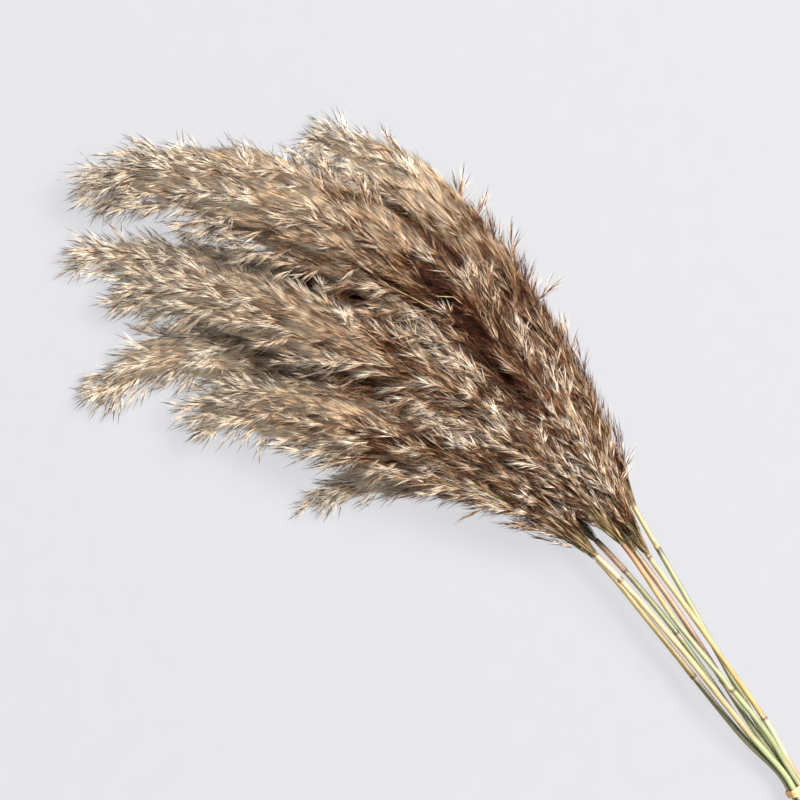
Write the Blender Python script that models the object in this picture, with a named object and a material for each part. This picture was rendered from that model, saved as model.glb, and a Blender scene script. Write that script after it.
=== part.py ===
"""A tied bundle of seven dried pampas grass reeds, lying on a surface.

Each reed is a culm with ring nodes and, from its top, a feathery plume. A plume is a slim core along the
rachis, with branches that stand out of it, nod to one side and carry spikelets.
+X runs along the bundle towards the plume tips, +Z is up, and the surface is at Z = 0.
"""

import math

import bmesh
import bpy
import numpy as np
from mathutils import Matrix

MM = 0.001

# The tie's middle, which puts the origin under the middle of the whole bundle, and the way the culms run
# through it: a little down to the feet, which lie on the surface.
TIE_PLACE = np.array((-245.3, -20.8, 13.4)) * MM
TIE_AHEAD = np.array((0.976, -0.196, 0.094))
TIE_ASIDE = np.array((0.197, 0.9804, 0.0))
TIE_OVER = np.cross(TIE_AHEAD, TIE_ASIDE)

# Culms: bare stems, cut square at the foot, where they are hollow.
CULM_RADIUS = 1.9 * MM
CULM_TOP_SHARE = 0.85
CULM_GAP = 0.5 * MM
CULM_STEP = 22.0 * MM
BORE_RADIUS = 1.15 * MM
BORE_DEPTH = 9.0 * MM
NODE_SWELL = 1.22
NODE_HALF_LENGTH = 1.4 * MM
FOOT_SPREAD = 0.25
FLARE_PLACE = np.array((48.0, -7.4, 4.6)) * MM
FLARE_SPREAD = 1.0
HELD_STRAIGHT = 16.0 * MM

# Raffia tie: turns of one strand round the culms, with a knot and two short tails. The knot's shape is given
# in knot radii, place along it and radius, and a tail's bend as shares of its reach and the knot's height.
RAFFIA_RADIUS = 0.8 * MM
RAFFIA_TURNS = 3
RAFFIA_PITCH = 1.25 * MM
RAFFIA_ARC_POINTS = 3
KNOT_RADIUS = 2.3 * MM
KNOT_SHAPE = ((-1.2, 0.4), (-0.5, 1.0), (0.5, 1.0), (1.2, 0.4))
TAIL_REACH = 26.0 * MM
TAIL_BEND = (0.35, 0.6)
TAIL_MIDDLE_ASIDE = 6.0 * MM
TAIL_END_ASIDE = 4.0 * MM
TAIL_SPREADS = (0.45, 1.0)
TAIL_STEP = 6.0 * MM
TOUCH_GAP = 0.3 * MM
PLUME_GAP = 0.55 * MM

# Plumes: share of the greatest radius at shares of the rachis, from base to tip.
PLUME_OUTLINE = ((0.0, 0.12), (0.1, 0.27), (0.2, 0.38), (0.3, 0.5), (0.45, 0.78), (0.6, 1.0), (0.75, 1.0),
                 (0.9, 0.68), (1.0, 0.25))
CORE_SHARE = 0.26
CORE_BASE_RADIUS = 1.7 * MM
CORE_TIP_RADIUS = 0.9 * MM
CORE_RINGS = 12

# Branches: bent lances, wider than they are thick, all round the rachis by the golden angle, with a draw on
# the turn, length and reach of each. Their roots sit at a share of the core's radius, and their nod grows
# from the plume's base. A branch that reaches the surface lies flat on it, its middle line no lower than the
# floor share of its radius.
BRANCH_SPACING = 7.3 * MM
BRANCH_FIRST = 0.012
BRANCH_LAST = 0.93
BRANCH_BASE_LENGTH = 92.0 * MM
BRANCH_TIP_LENGTH = 32.0 * MM
BRANCH_ROOT_RADIUS = 1.2 * MM
BRANCH_MID_RADIUS = 2.4 * MM
BRANCH_BOW = 0.65
BRANCH_NOD = 12.0 * MM
NOD_DIRECTION = np.array((0.25, 0.9, -0.35))
LANCE_WIDTH = 1.3
LANCE_THICKNESS = 0.9
FLOOR_SHARE = 0.35
ROOT_SHARE = 0.4
NOD_AT_BASE = 0.3
NOD_GROWTH = 3.0
GOLDEN_ANGLE = math.pi * (3 - math.sqrt(5))
TURN_DRAW = (-0.35, 0.35)
LENGTH_DRAW = (0.8, 1.15)
REACH_DRAW = (0.85, 1.1)

# Spikelets: straight needles on the outer half of the branches.
SPIKELETS_PER_BRANCH = 1.7
SPIKELET_LENGTH = 21.0 * MM
SPIKELET_RADIUS = 0.9 * MM
SPIKELET_SPLAY = math.radians(25)
SPIKELET_PLACE_DRAW = (0.35, 0.9)
SPIKELET_TURN_DRAW = (-1.6, 1.6)
SPIKELET_LENGTH_DRAW = (0.8, 1.2)

# Colours, linear: one for each culm from the bundle's right side to its left, and one for all plumes.
CULM_COLOURS = ((0.26, 0.27, 0.12), (0.68, 0.52, 0.24), (0.44, 0.27, 0.19), (0.57, 0.37, 0.14),
                (0.20, 0.21, 0.11), (0.66, 0.53, 0.28), (0.37, 0.34, 0.14))
CULM_ROUGHNESS = 0.45
PLUME_COLOUR = (0.40, 0.29, 0.19)
PLUME_ROUGHNESS = 0.85
RAFFIA_COLOUR = (0.64, 0.45, 0.27)
RAFFIA_ROUGHNESS = 0.7
SHARP_ANGLE = math.radians(50)

# How the branches of one reed are kept clear of the next, and how closely the lines are read.
CELL_MARGIN = 4.1 * MM
CELL_SAMPLES = 9
CULM_CLEARANCE = 3.2 * MM
PULL_STEPS = 21
LINE_STEP = 3.0 * MM
CURVE_READINGS = 24
SEED = 7

# One row for each reed, from the bundle's right side to its left. Lengths in mm, measured from the tie:
# slot in the tie (round the middle culm, or None for the middle one), length to the foot, culm nodes,
# plume radius, then a point of the culm and those of the plume's rachis, height above the surface last.
REEDS = (
    dict(slot=4, foot=74, nodes=(60, 166), radius=26,
         turn=(120, -31.5, 17),
         plume=((187, -49.5, 19), (240, -66, 18), (297, -78, 18), (366, -87, 18), (425, -86, 18),
                (484, -73, 13))),
    dict(slot=3, foot=70, nodes=(46, 169), radius=34,
         turn=(120, -28, 34),
         plume=((165, -34.8, 41), (252, -51, 56), (321, -55, 62), (372, -50, 62), (416, -43, 60),
                (456, -28, 56), (492, -9, 50), (525, 14, 42), (550, 50, 24))),
    dict(slot=None, foot=77, nodes=(79,), radius=22,
         turn=(120, -23.2, 17),
         plume=((168, -31.2, 20), (242, -43, 18), (313, -42, 16), (379, -23, 16), (432, 8, 16), (483, 43, 15),
                (535, 83, 9))),
    dict(slot=2, foot=72, nodes=(74, 130), radius=26,
         turn=(120, -18.4, 35),
         plume=((178, -28.5, 43), (246, -31, 58), (313, -21, 64), (373, 0, 62), (426, 24, 50), (465, 50, 36),
                (499, 77, 16))),
    dict(slot=5, foot=68, nodes=(119, 167), radius=23,
         turn=(120, -15, 17),
         plume=((188, -19.5, 21), (246, -16, 18), (309, -2, 16), (369, 20, 16), (420, 52, 16), (450, 92, 14),
                (459, 137, 8))),
    dict(slot=1, foot=76, nodes=(53, 166.5), radius=25,
         turn=(120, -10.5, 35),
         plume=((184, -13, 43), (243, -8, 52), (298, 11, 56), (348, 36, 51), (384, 65, 38), (413, 98, 20))),
    dict(slot=0, foot=71, nodes=(92,), radius=13,
         turn=(120, -6.5, 18),
         plume=((179, -12, 21), (220, -9, 17), (257, 4, 14), (288, 26, 13), (312, 54, 12), (323, 89, 8))),
)


def clear_scene():
    for thing in list(bpy.data.objects):
        bpy.data.objects.remove(thing)


def collection(name):
    made = bpy.data.collections.new(name)
    bpy.context.scene.collection.children.link(made)
    return made


def material(name, colour, roughness):
    made = bpy.data.materials.new(name)
    made.use_nodes = True
    shader = made.node_tree.nodes["Principled BSDF"]
    shader.inputs["Base Color"].default_value = (*colour, 1.0)
    shader.inputs["Roughness"].default_value = roughness
    shader.inputs["Metallic"].default_value = 0.0
    return made


def unit(vectors):
    return vectors / np.linalg.norm(vectors, axis=-1, keepdims=True)


def smooth_line(points, step):
    """A Catmull-Rom curve through the points, read again at even steps along its length."""
    ends = [2 * points[0] - points[1], *points, 2 * points[-1] - points[-2]]
    dense = []
    for before, start, end, after in zip(ends, ends[1:], ends[2:], ends[3:]):
        for share in np.linspace(0, 1, CURVE_READINGS, endpoint=False):
            dense.append(0.5 * (2 * start + (end - before) * share
                                + (2 * before - 5 * start + 4 * end - after) * share ** 2
                                + (3 * start - 3 * end + after - before) * share ** 3))
    dense = np.array([*dense, points[-1]])
    run = lengths_along(dense)
    even = np.linspace(0, run[-1], max(2, round(run[-1] / step)) + 1)
    return np.stack([np.interp(even, run, dense[:, axis]) for axis in range(3)], axis=1)


def sampled(path, at):
    """Points at fractional steps along a path."""
    return np.stack([np.interp(at, np.arange(len(path)), path[:, axis]) for axis in range(3)], axis=-1)


def lengths_along(path):
    return np.concatenate([[0], np.cumsum(np.linalg.norm(np.diff(path, axis=0), axis=1))])


def tie_slot(slot):
    """The middle of a culm in the tie: one in the middle, six round it, one turn counted from +Y."""
    if slot is None:
        return TIE_PLACE
    return TIE_PLACE + across_tie(slot) * (2 * CULM_RADIUS + CULM_GAP)


def across_tie(slot):
    """The direction from the tie's middle to a slot, which may be a fraction."""
    angle = slot * math.tau / 6
    return TIE_ASIDE * math.cos(angle) + TIE_OVER * math.sin(angle)


class Reed:
    """One reed's middle line, from its foot to its tip, and its plume's frame."""

    def __init__(self, number, row):
        self.number = number
        self.nodes = row["nodes"]
        self.radius = row["radius"] * MM
        tie = tie_slot(row["slot"])
        spread = tie - TIE_PLACE
        foot = tie + spread * FOOT_SPREAD - TIE_AHEAD * row["foot"] * MM
        foot[2] = max(foot[2], CULM_RADIUS)
        held = TIE_AHEAD * HELD_STRAIGHT
        flare = tie + spread * FLARE_SPREAD + FLARE_PLACE
        under_tie = TIE_PLACE * (1, 1, 0)
        turn, *plume = [under_tie + np.array(point) * MM for point in (row["turn"], *row["plume"])]
        self.line = smooth_line([foot, tie - held, tie, tie + held, flare, turn, *plume], LINE_STEP)
        self.base = int(np.argmin(np.linalg.norm(self.line - plume[0], axis=1)))
        self.rings = len(self.line) - 1 - self.base
        self.length = lengths_along(self.line[self.base:])[-1]
        self.tangents = unit(np.gradient(self.line, axis=0))
        self.ups = unit(np.array((0, 0, 1.0)) - self.tangents * self.tangents[:, 2:3])
        self.sides = np.cross(self.ups, self.tangents)
        shares = (np.arange(len(self.line)) - self.base) / self.rings
        self.weights = np.where(shares < 0, CULM_CLEARANCE, np.maximum(self.outline(shares), CULM_CLEARANCE))

    def outline(self, share):
        """The plume's radius at a share of the rachis."""
        at, size = zip(*PLUME_OUTLINE)
        return np.interp(share, at, size) * self.radius

    def core_radius(self, share):
        thick = self.outline(share) * CORE_SHARE + CORE_BASE_RADIUS * (1 - share)
        return max(thick, CORE_TIP_RADIUS)

    def read(self, values, share):
        """A value along the rachis at shares of it, the last one where a share passes the tip."""
        return sampled(values, self.base + np.asarray(share) * self.rings)

    def point(self, share):
        """Points on the rachis, and straight on from its tip where a share is over 1."""
        past = np.maximum(np.asarray(share) - 1.0, 0.0) * self.length
        return self.read(self.line, share) + self.tangents[-1] * past[..., None]

    def outward(self, share, azimuth):
        """The direction out from the rachis at an angle round it, from its side towards its top."""
        aside = self.read(self.sides, share) * math.cos(azimuth)
        return aside + self.read(self.ups, share) * math.sin(azimuth)


def nearest(points, reed):
    """How far the points are from a reed's middle line, and the reed's size there."""
    apart = np.linalg.norm(points[:, None] - reed.line[None], axis=2)
    return apart.min(axis=1), reed.weights[apart.argmin(axis=1)]


def is_clear(points, own, reeds):
    """Whether the points are nearer to their own reed than to any other, each measured by its size."""
    distance, weight = nearest(points, own)
    for other in reeds:
        if other is own:
            continue
        gap, size = nearest(points, other)
        if (distance * size > np.maximum(gap - CELL_MARGIN, 0) * weight).any():
            return False
    return True


def bent_clear(path, own, shares, reeds, low):
    """The path drawn in to its own rachis until no other reed is in its way, and kept above the surface."""
    axis = own.point(shares)
    for pull in np.linspace(1.0, 0.0, PULL_STEPS):
        drawn = axis + (path - axis) * pull
        drawn[:, 2] = np.maximum(drawn[:, 2], low)
        if is_clear(sampled(drawn, np.linspace(0, len(drawn) - 1, CELL_SAMPLES)), own, reeds):
            break
    return drawn


def branch_paths(reed, reeds):
    """Each branch's shares of the rachis, its points from the root, and its angle round the rachis."""
    draw = np.random.default_rng(SEED + reed.number)
    count = round(reed.length / BRANCH_SPACING)
    along = np.linspace(0, 1, 3)
    low = FLOOR_SHARE * np.interp(along, (0, 0.5, 1), (BRANCH_ROOT_RADIUS, BRANCH_MID_RADIUS, 0))
    made = []
    for index in range(count):
        start = BRANCH_FIRST + (BRANCH_LAST - BRANCH_FIRST) * index / (count - 1)
        azimuth = index * GOLDEN_ANGLE + draw.uniform(*TURN_DRAW)
        length = BRANCH_BASE_LENGTH + (BRANCH_TIP_LENGTH - BRANCH_BASE_LENGTH) * start
        length *= draw.uniform(*LENGTH_DRAW)
        shares = start + along * length / reed.length
        reach = float(reed.outline(min(shares[-1], 1.0))) * draw.uniform(*REACH_DRAW)
        root = ROOT_SHARE * reed.core_radius(start)
        rise = root + (max(reach, root) - root) * along ** BRANCH_BOW
        nod = BRANCH_NOD * along ** 2 * min(1.0, NOD_AT_BASE + NOD_GROWTH * start)
        path = reed.point(shares) + reed.outward(shares, azimuth) * rise[:, None]
        path += NOD_DIRECTION * nod[:, None]
        made.append((shares, bent_clear(path, reed, shares, reeds, low), azimuth))
    return made


def spikelet_path(reed, reeds, branch, draw):
    """A needle's root on its branch and its tip, splayed from the branch."""
    shares, path, azimuth = branch
    at = draw.uniform(*SPIKELET_PLACE_DRAW) * (len(path) - 1)
    root = sampled(path, at)
    share = np.interp(at, np.arange(len(path)), shares)
    ahead = unit(path[int(at) + 1] - path[int(at)])
    out = unit(reed.outward(share, azimuth + draw.uniform(*SPIKELET_TURN_DRAW)))
    length = SPIKELET_LENGTH * draw.uniform(*SPIKELET_LENGTH_DRAW)
    reach = ahead * math.cos(SPIKELET_SPLAY) + out * math.sin(SPIKELET_SPLAY)
    along = np.array((0.0, 1.0))
    ray = root + along[:, None] * reach * length
    bent = bent_clear(ray, reed, share + along * length / reed.length, reeds, 0.0)
    return np.array([root, bent[-1]])


def face_outwards(bm):
    bmesh.ops.recalc_face_normals(bm, faces=bm.faces)
    if bm.calc_volume(signed=True) < 0:
        bmesh.ops.reverse_faces(bm, faces=bm.faces)


def spike(name, path, radii, home):
    """A three-sided spike: a cone cut across into lengths and bent along the path, one flat side down."""
    rings = len(path) - 1
    bm = bmesh.new()
    bmesh.ops.create_cone(bm, cap_ends=True, segments=3, radius1=1, radius2=0, depth=1,
                          matrix=Matrix.Translation((0, 0, 0.5)))
    for ring in range(1, rings):
        bmesh.ops.bisect_plane(bm, geom=[*bm.verts, *bm.edges, *bm.faces],
                               plane_co=(0, 0, ring / rings), plane_no=(0, 0, 1))
    tangents = unit(np.gradient(path, axis=0))
    ups = unit(np.array((0, 0, 1.0)) - tangents * tangents[:, 2:3])
    sides = np.cross(ups, tangents)
    for vert in bm.verts:
        ring = round(vert.co.z * rings)
        spread = radii[ring] / max(1 - ring / rings, 1 / rings)
        wide = sides[ring] * vert.co.x * LANCE_WIDTH
        thick = ups[ring] * vert.co.y * LANCE_THICKNESS
        moved = path[ring] + (wide + thick) * spread
        vert.co = (moved[0], moved[1], max(moved[2], 0.0))
    face_outwards(bm)
    mesh = bpy.data.meshes.new(name)
    bm.to_mesh(mesh)
    bm.free()
    made = bpy.data.objects.new(name, mesh)
    home.objects.link(made)
    return made


def tube(name, path, radii, bevel_resolution, home, cyclic=False):
    """A closed tube with a radius at each point, as a welded mesh."""
    curve = bpy.data.curves.new(name, "CURVE")
    curve.dimensions = "3D"
    curve.bevel_depth = 1.0
    curve.bevel_resolution = bevel_resolution
    curve.use_fill_caps = not cyclic
    spline = curve.splines.new("POLY")
    spline.points.add(len(path) - 1)
    spline.use_cyclic_u = cyclic
    for point, place, radius in zip(spline.points, path, radii):
        point.co = (*place, 1.0)
        point.radius = radius
    drawn = bpy.data.objects.new(name + "_line", curve)
    home.objects.link(drawn)
    bpy.context.view_layer.update()
    mesh = bpy.data.meshes.new_from_object(drawn.evaluated_get(bpy.context.evaluated_depsgraph_get()))
    bpy.data.objects.remove(drawn)
    bm = bmesh.new()
    bm.from_mesh(mesh)
    bmesh.ops.remove_doubles(bm, verts=bm.verts, dist=1e-6)
    face_outwards(bm)
    bm.to_mesh(mesh)
    bm.free()
    made = bpy.data.objects.new(name, mesh)
    home.objects.link(made)
    return made


def apply_modifiers(body):
    bpy.context.view_layer.update()
    body.data = bpy.data.meshes.new_from_object(body.evaluated_get(bpy.context.evaluated_depsgraph_get()))
    body.modifiers.clear()


def join_by_union(body, others):
    """Joins every object of a collection to the body, then removes them."""
    union = body.modifiers.new("union", "BOOLEAN")
    union.operation = "UNION"
    union.operand_type = "COLLECTION"
    union.collection = others
    apply_modifiers(body)
    keep_largest_shell(body)
    for thing in list(others.objects):
        bpy.data.objects.remove(thing)


def keep_largest_shell(body):
    """Drops the sealed pockets that crossing spikes leave inside, and any loose scrap."""
    bm = bmesh.new()
    bm.from_mesh(body.data)
    waiting = set(bm.verts)
    shells = []
    while waiting:
        shell = []
        reached = [waiting.pop()]
        while reached:
            vert = reached.pop()
            shell.append(vert)
            for edge in vert.link_edges:
                other = edge.other_vert(vert)
                if other in waiting:
                    waiting.remove(other)
                    reached.append(other)
        shells.append(shell)
    shells.sort(key=len)
    bmesh.ops.delete(bm, geom=[vert for shell in shells[:-1] for vert in shell], context="VERTS")
    bm.to_mesh(body.data)
    bm.free()


def finish_with(body, colour, roughness):
    body.data.materials.clear()
    body.data.materials.append(material(body.name, colour, roughness))
    body.data.shade_smooth()
    body.data.set_sharp_from_angle(angle=SHARP_ANGLE)


def make_culm(reed, home, tools):
    """The bare stem from foot to plume, with a swelling at each node and a hollow foot."""
    path = reed.line[: reed.base + 1]
    run = lengths_along(path)
    tie_run = float(np.interp(TIE_PLACE[0], path[:, 0], run))
    nodes = [tie_run + node * MM for node in reed.nodes]
    first = tie_run % CULM_STEP + CULM_STEP
    marks = {0.0, run[-1], *np.arange(first, run[-1] - 0.5 * CULM_STEP, CULM_STEP)}
    for node in nodes:
        marks = {mark for mark in marks if abs(mark - node) > 3 * NODE_HALF_LENGTH}
        marks |= {node - NODE_HALF_LENGTH, node, node + NODE_HALF_LENGTH}
    marks = np.array(sorted(marks))
    places = np.stack([np.interp(marks, run, path[:, axis]) for axis in range(3)], axis=1)
    radii = CULM_RADIUS * np.interp(marks, (0, run[-1]), (1.0, CULM_TOP_SHARE))
    radii = np.where(np.isin(marks, nodes), radii * NODE_SWELL, radii)
    culm = tube(f"reed_{reed.number}_culm", places, radii, 2, home)
    foot_ahead = places[0] + unit(places[1] - places[0]) * BORE_DEPTH
    foot_behind = 2 * places[0] - foot_ahead
    bore = tube("bore", [foot_behind, foot_ahead], [BORE_RADIUS, BORE_RADIUS], 2, tools)
    cut = culm.modifiers.new("bore", "BOOLEAN")
    cut.operation = "DIFFERENCE"
    cut.object = bore
    apply_modifiers(culm)
    bpy.data.objects.remove(bore)
    finish_with(culm, CULM_COLOURS[reed.number - 1], CULM_ROUGHNESS)


def make_plume(reed, reeds, home, tools):
    """The slim core along the rachis, with its branches and spikelets joined to it."""
    shares = np.linspace(PLUME_GAP / reed.length, 1.0, CORE_RINGS)
    radii = [reed.core_radius(share) for share in shares]
    plume = tube(f"reed_{reed.number}_plume", reed.point(shares), radii, 1, home)
    branches = branch_paths(reed, reeds)
    for _, path, _ in branches:
        spike("branch", path, (BRANCH_ROOT_RADIUS, BRANCH_MID_RADIUS, 0.0), tools)
    draw = np.random.default_rng(SEED + 100 * reed.number)
    for index in range(round(len(branches) * SPIKELETS_PER_BRANCH)):
        path = spikelet_path(reed, reeds, branches[index % len(branches)], draw)
        spike("spikelet", path, (SPIKELET_RADIUS, 0.0), tools)
    join_by_union(plume, tools)
    finish_with(plume, PLUME_COLOUR, PLUME_ROUGHNESS)


def tie_ring():
    """One turn of raffia: a line that keeps close round the outer six culms."""
    away = CULM_RADIUS + TOUCH_GAP + RAFFIA_RADIUS
    points = []
    for slot in range(6):
        for step in range(RAFFIA_ARC_POINTS):
            facing = across_tie(slot - 0.5 + (step + 0.5) / RAFFIA_ARC_POINTS)
            points.append(tie_slot(slot) + facing * away)
    return np.array(points)


def make_tie(home, tools):
    """Turns of raffia round the culms, a knot at the right side and two tails that hang to the surface."""
    ring = tie_ring()
    sizes = [RAFFIA_RADIUS] * len(ring)
    offsets = (np.arange(RAFFIA_TURNS) - (RAFFIA_TURNS - 1) / 2) * RAFFIA_PITCH
    tie = tube("raffia_tie", ring + TIE_AHEAD * offsets[0], sizes, 1, home, cyclic=True)
    for offset in offsets[1:]:
        tube("turn", ring + TIE_AHEAD * offset, sizes, 1, tools, cyclic=True)
    knot_place = ring[ring[:, 1].argmin()] - TIE_ASIDE * (KNOT_RADIUS - 0.5 * RAFFIA_RADIUS)
    knot_line = [knot_place + (place * KNOT_RADIUS, 0, 0) for place, _ in KNOT_SHAPE]
    tube("knot", knot_line, [size * KNOT_RADIUS for _, size in KNOT_SHAPE], 1, tools)
    back, down = TAIL_BEND
    for spread in TAIL_SPREADS:
        middle = knot_place - (back * TAIL_REACH, TAIL_MIDDLE_ASIDE * spread, down * knot_place[2])
        end = knot_place - (TAIL_REACH, TAIL_END_ASIDE * spread, 0)
        end[2] = RAFFIA_RADIUS
        path = smooth_line([knot_place, middle, end], TAIL_STEP)
        path[:, 2] = np.maximum(path[:, 2], RAFFIA_RADIUS)
        tube("tail", path, [RAFFIA_RADIUS] * len(path), 1, tools)
    join_by_union(tie, tools)
    finish_with(tie, RAFFIA_COLOUR, RAFFIA_ROUGHNESS)


def main():
    clear_scene()
    home = collection("pampas_grass_bundle")
    tools = collection("cutters")
    reeds = [Reed(number, row) for number, row in enumerate(REEDS, 1)]
    for reed in reeds:
        make_culm(reed, home, tools)
        make_plume(reed, reeds, home, tools)
    make_tie(home, tools)
    bpy.data.collections.remove(tools)


main()
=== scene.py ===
"""The looks of a tied bundle of dried pampas grass: seven plumes of fine strands, their culms, and a raffia tie.

Lengths are in metres. Each reed's middle line is the same smooth curve as in the solids. A plume grows along it
in four orders, each worked out as whole arrays: branches on the rachis, branchlets on the branches, spikelets on
the branchlets, and lemmas and silky hairs in each spikelet. Matted down on a packed core fills its middle.

A value named RANGE holds the two shares of a usual size, or of a step, that each one's own is drawn between.
"""

import math

import bpy
import numpy as np
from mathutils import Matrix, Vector


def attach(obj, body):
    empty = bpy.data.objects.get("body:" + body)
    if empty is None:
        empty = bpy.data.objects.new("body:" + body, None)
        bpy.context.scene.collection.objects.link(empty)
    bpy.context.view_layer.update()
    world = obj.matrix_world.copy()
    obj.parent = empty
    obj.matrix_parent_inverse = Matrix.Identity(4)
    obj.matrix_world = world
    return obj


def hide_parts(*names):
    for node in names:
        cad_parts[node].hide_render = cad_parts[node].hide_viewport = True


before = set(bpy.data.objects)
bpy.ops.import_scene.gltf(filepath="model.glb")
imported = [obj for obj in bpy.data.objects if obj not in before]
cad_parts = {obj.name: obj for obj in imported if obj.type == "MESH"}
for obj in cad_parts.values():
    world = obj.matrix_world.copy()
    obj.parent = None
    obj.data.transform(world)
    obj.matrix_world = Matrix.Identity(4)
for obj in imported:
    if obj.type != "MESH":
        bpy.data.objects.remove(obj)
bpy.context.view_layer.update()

MM = 0.001
UP = np.array((0.0, 0.0, 1.0))
GOLDEN_ANGLE = math.pi * (3 - math.sqrt(5))
BAKE_MAP = "OFBake"
STEM_MAP = "stem"
MAP_HALF_BAND = 1 / 512
SEED = 11

# The tie's middle and the way the culms run through it.
TIE_PLACE = np.array((-245.3, -20.8, 13.4)) * MM
TIE_AHEAD = np.array((0.976, -0.196, 0.094))
TIE_ASIDE = np.array((0.197, 0.9804, 0.0))
TIE_OVER = np.cross(TIE_AHEAD, TIE_ASIDE)

# Culms: bare stems, hollow at the cut foot. Each node is a swollen ring with a groove past it, at so many of the
# ring's half lengths. Some stems carry a sheath with a slanting edge, or a bud.
CULM_RADIUS = 1.9 * MM
CULM_TOP_SHARE = 0.85
CULM_GAP = 0.5 * MM
CULM_SIDES = 20
CULM_STEP = 1.3 * MM
BORE_RADIUS = 1.15 * MM
BORE_DEPTH = 9.0 * MM
RIM_ROUNDING = 0.12 * MM
NODE_SWELL = 0.11
NODE_HALF_LENGTH = 1.3 * MM
NODE_RINGS = np.linspace(-4, 4, 21) * MM
GROOVE_PLACE = 1.4
GROOVE_DEPTH = 0.09
GROOVE_HALF_LENGTH = 0.45 * MM
OVALITY = 0.03
SHEATH_THICKNESS = 0.16 * MM
SHEATH_EDGE = 0.15 * MM
SHEATH_SLANT = 1.6 * MM
BUD_LENGTH = 2.2 * MM
BUD_HEIGHT = 0.55 * MM
BUD_HALF_ANGLE = 0.45
BUD_SHARPNESS = 1.5
GREEN_REEDS = (1, 5, 7)
CUT_SHARE = 0.003
FOOT_SPREAD = 0.25
FLARE_PLACE = np.array((48.0, -7.4, 4.6)) * MM
HELD_STRAIGHT = 16.0 * MM
LINE_STEP = 3.0 * MM
CURVE_READINGS = 24

# Plumes: share of the greatest radius at shares of the rachis, from base to tip.
PLUME_OUTLINE = ((0.0, 0.12), (0.1, 0.27), (0.2, 0.38), (0.3, 0.5), (0.45, 0.78), (0.6, 1.0), (0.75, 1.0),
                 (0.9, 0.68), (1.0, 0.25))
FLOOR_CLEARANCE = 0.4 * MM

# Rachis: the culm's thin end inside the plume. It starts just inside the culm's top, and its radius is given at
# shares of its length.
RACHIS_IN_CULM = 0.97
RACHIS_STATIONS = np.concatenate([[0.0], np.linspace(0.003, 1, 60)])
RACHIS_RADII = ((0, 0.1, 1), (RACHIS_IN_CULM * CULM_RADIUS * CULM_TOP_SHARE, 1.2 * MM, 0.35 * MM))

# Branches: long and slender, all round the rachis, and nodding to one side. Those on top stand up less. At the
# base they crowd together and nod least. Most reach close to the outline, because the share that is drawn is
# raised to a small power, and towards the plume's tip they reach less.
BRANCH_SPACING = 2.4 * MM
USUAL_RADIUS = 25.0 * MM
BRANCH_FIRST = 0.002
BRANCH_LAST = 0.95
BASE_CROWD = 1.15
TURN_VARIES = 0.35
BRANCH_BASE_LENGTH = 92.0 * MM
BRANCH_TIP_LENGTH = 40.0 * MM
BRANCH_LENGTH_RANGE = (0.5, 0.95)
TIP_ROOM = 19.0 * MM
LEAST_BRANCH = 6.0 * MM
WIDEST_REACH = 0.95
REACH_RANGE = (0.03, 1.0)
REACH_POWER = 0.35
TIP_NARROWS = ((0.7, 1.0), (1.0, 0.75))
TOP_SHARE = 0.75
BRANCH_POINTS = 8
BRANCH_BOW = 0.42
BRANCH_NOD = 5.0 * MM
NOD_AT_BASE = 0.3
NOD_GROWS = 3
NOD_RANGE = (0.6, 1.3)
NOD_DIRECTION = np.array((0.25, 0.9, -0.35))
BRANCH_ROOT_RADIUS = 0.36 * MM
BRANCH_TIP_RADIUS = 0.16 * MM
ROOT_SINK = 0.6 * MM

# Bristles: bare lower branches in a narrow cone round each plume's base, rooted inside the culm's skin.
BRISTLES = 420
BRISTLE_FIRST = -0.004
BRISTLE_REACH = 24.0 * MM
BRISTLE_LENGTH = 24.0 * MM
BRISTLE_LENGTH_RANGE = (0.4, 1.2)
BRISTLE_POINTS = 4
BRISTLE_RADIUS = 0.17 * MM
BRISTLE_ROOT = 0.8
BRISTLE_SPLAY = math.radians(9)
BRISTLE_SPLAY_RANGE = (0.1, 1.5)

# Branchlets on the branches, longest at a branch's root and on long branches, and spikelets on the branchlets.
# LOOSENESS is how far both splay at shares of the rachis, and further out on a branch counts as further along.
BRANCHLET_SPACING = 7.5 * MM
BRANCHLET_FIRST = 0.07
BRANCHLET_PLACE_RANGE = (0.1, 0.9)
BRANCHLET_LENGTHS = (28.0 * MM, 12.0 * MM)
BRANCHLET_LENGTH_RANGE = (0.55, 1.25)
SHORT_AND_LONG_BRANCH = (0.3, 1.1)
BRANCHLET_SPLAY = math.radians(22)
BRANCHLET_SPLAY_RANGE = (0.4, 1.4)
BRANCHLET_RADIUS = 0.17 * MM
BRANCHLET_SAG = 0.08
LEAN_TO_NOD = 0.1
SPIKELET_SPACING = 2.9 * MM
SPIKELET_SPLAY = math.radians(17)
SPIKELET_SPLAY_RANGE = (0.5, 1.5)
END_SPLAY = 0.1
LOOSENESS = ((0.0, 0.09, 0.35, 1.0), (0.35, 0.9, 1.0, 1.1))
LOOSER_OUT = 0.15

# A spikelet: papery lemmas one above the other, and silky hairs that stand out between them. A real hair is some
# 0.02 mm thick. These are as thick as they need to be to show, and fewer.
LEMMAS = 2
LEMMA_FIRST = 3.0 * MM
LEMMA_STAGGER = 6.0 * MM
LEMMA_LENGTH = 8.5 * MM
LEMMA_LENGTH_RANGE = (0.75, 1.2)
LEMMA_HALF_WIDTH = 0.36 * MM
LEMMA_HALF_THICKNESS = 0.2 * MM
LEMMA_SPLAY = math.radians(8)
LEMMA_SPLAY_RANGE = (0.2, 1.6)
HAIRS = 9
MOST_HAIRS = 49_500
HAIR_REACH = 4.0 * MM
HAIR_PLACE_RANGE = (0.05, 1)
HAIR_LENGTH = 14.0 * MM
HAIR_LENGTH_RANGE = (0.6, 1.2)
TIGHT_HAIR = 0.3
HAIR_RADIUS = 0.14 * MM
HAIR_SPLAY = math.radians(12)
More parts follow.
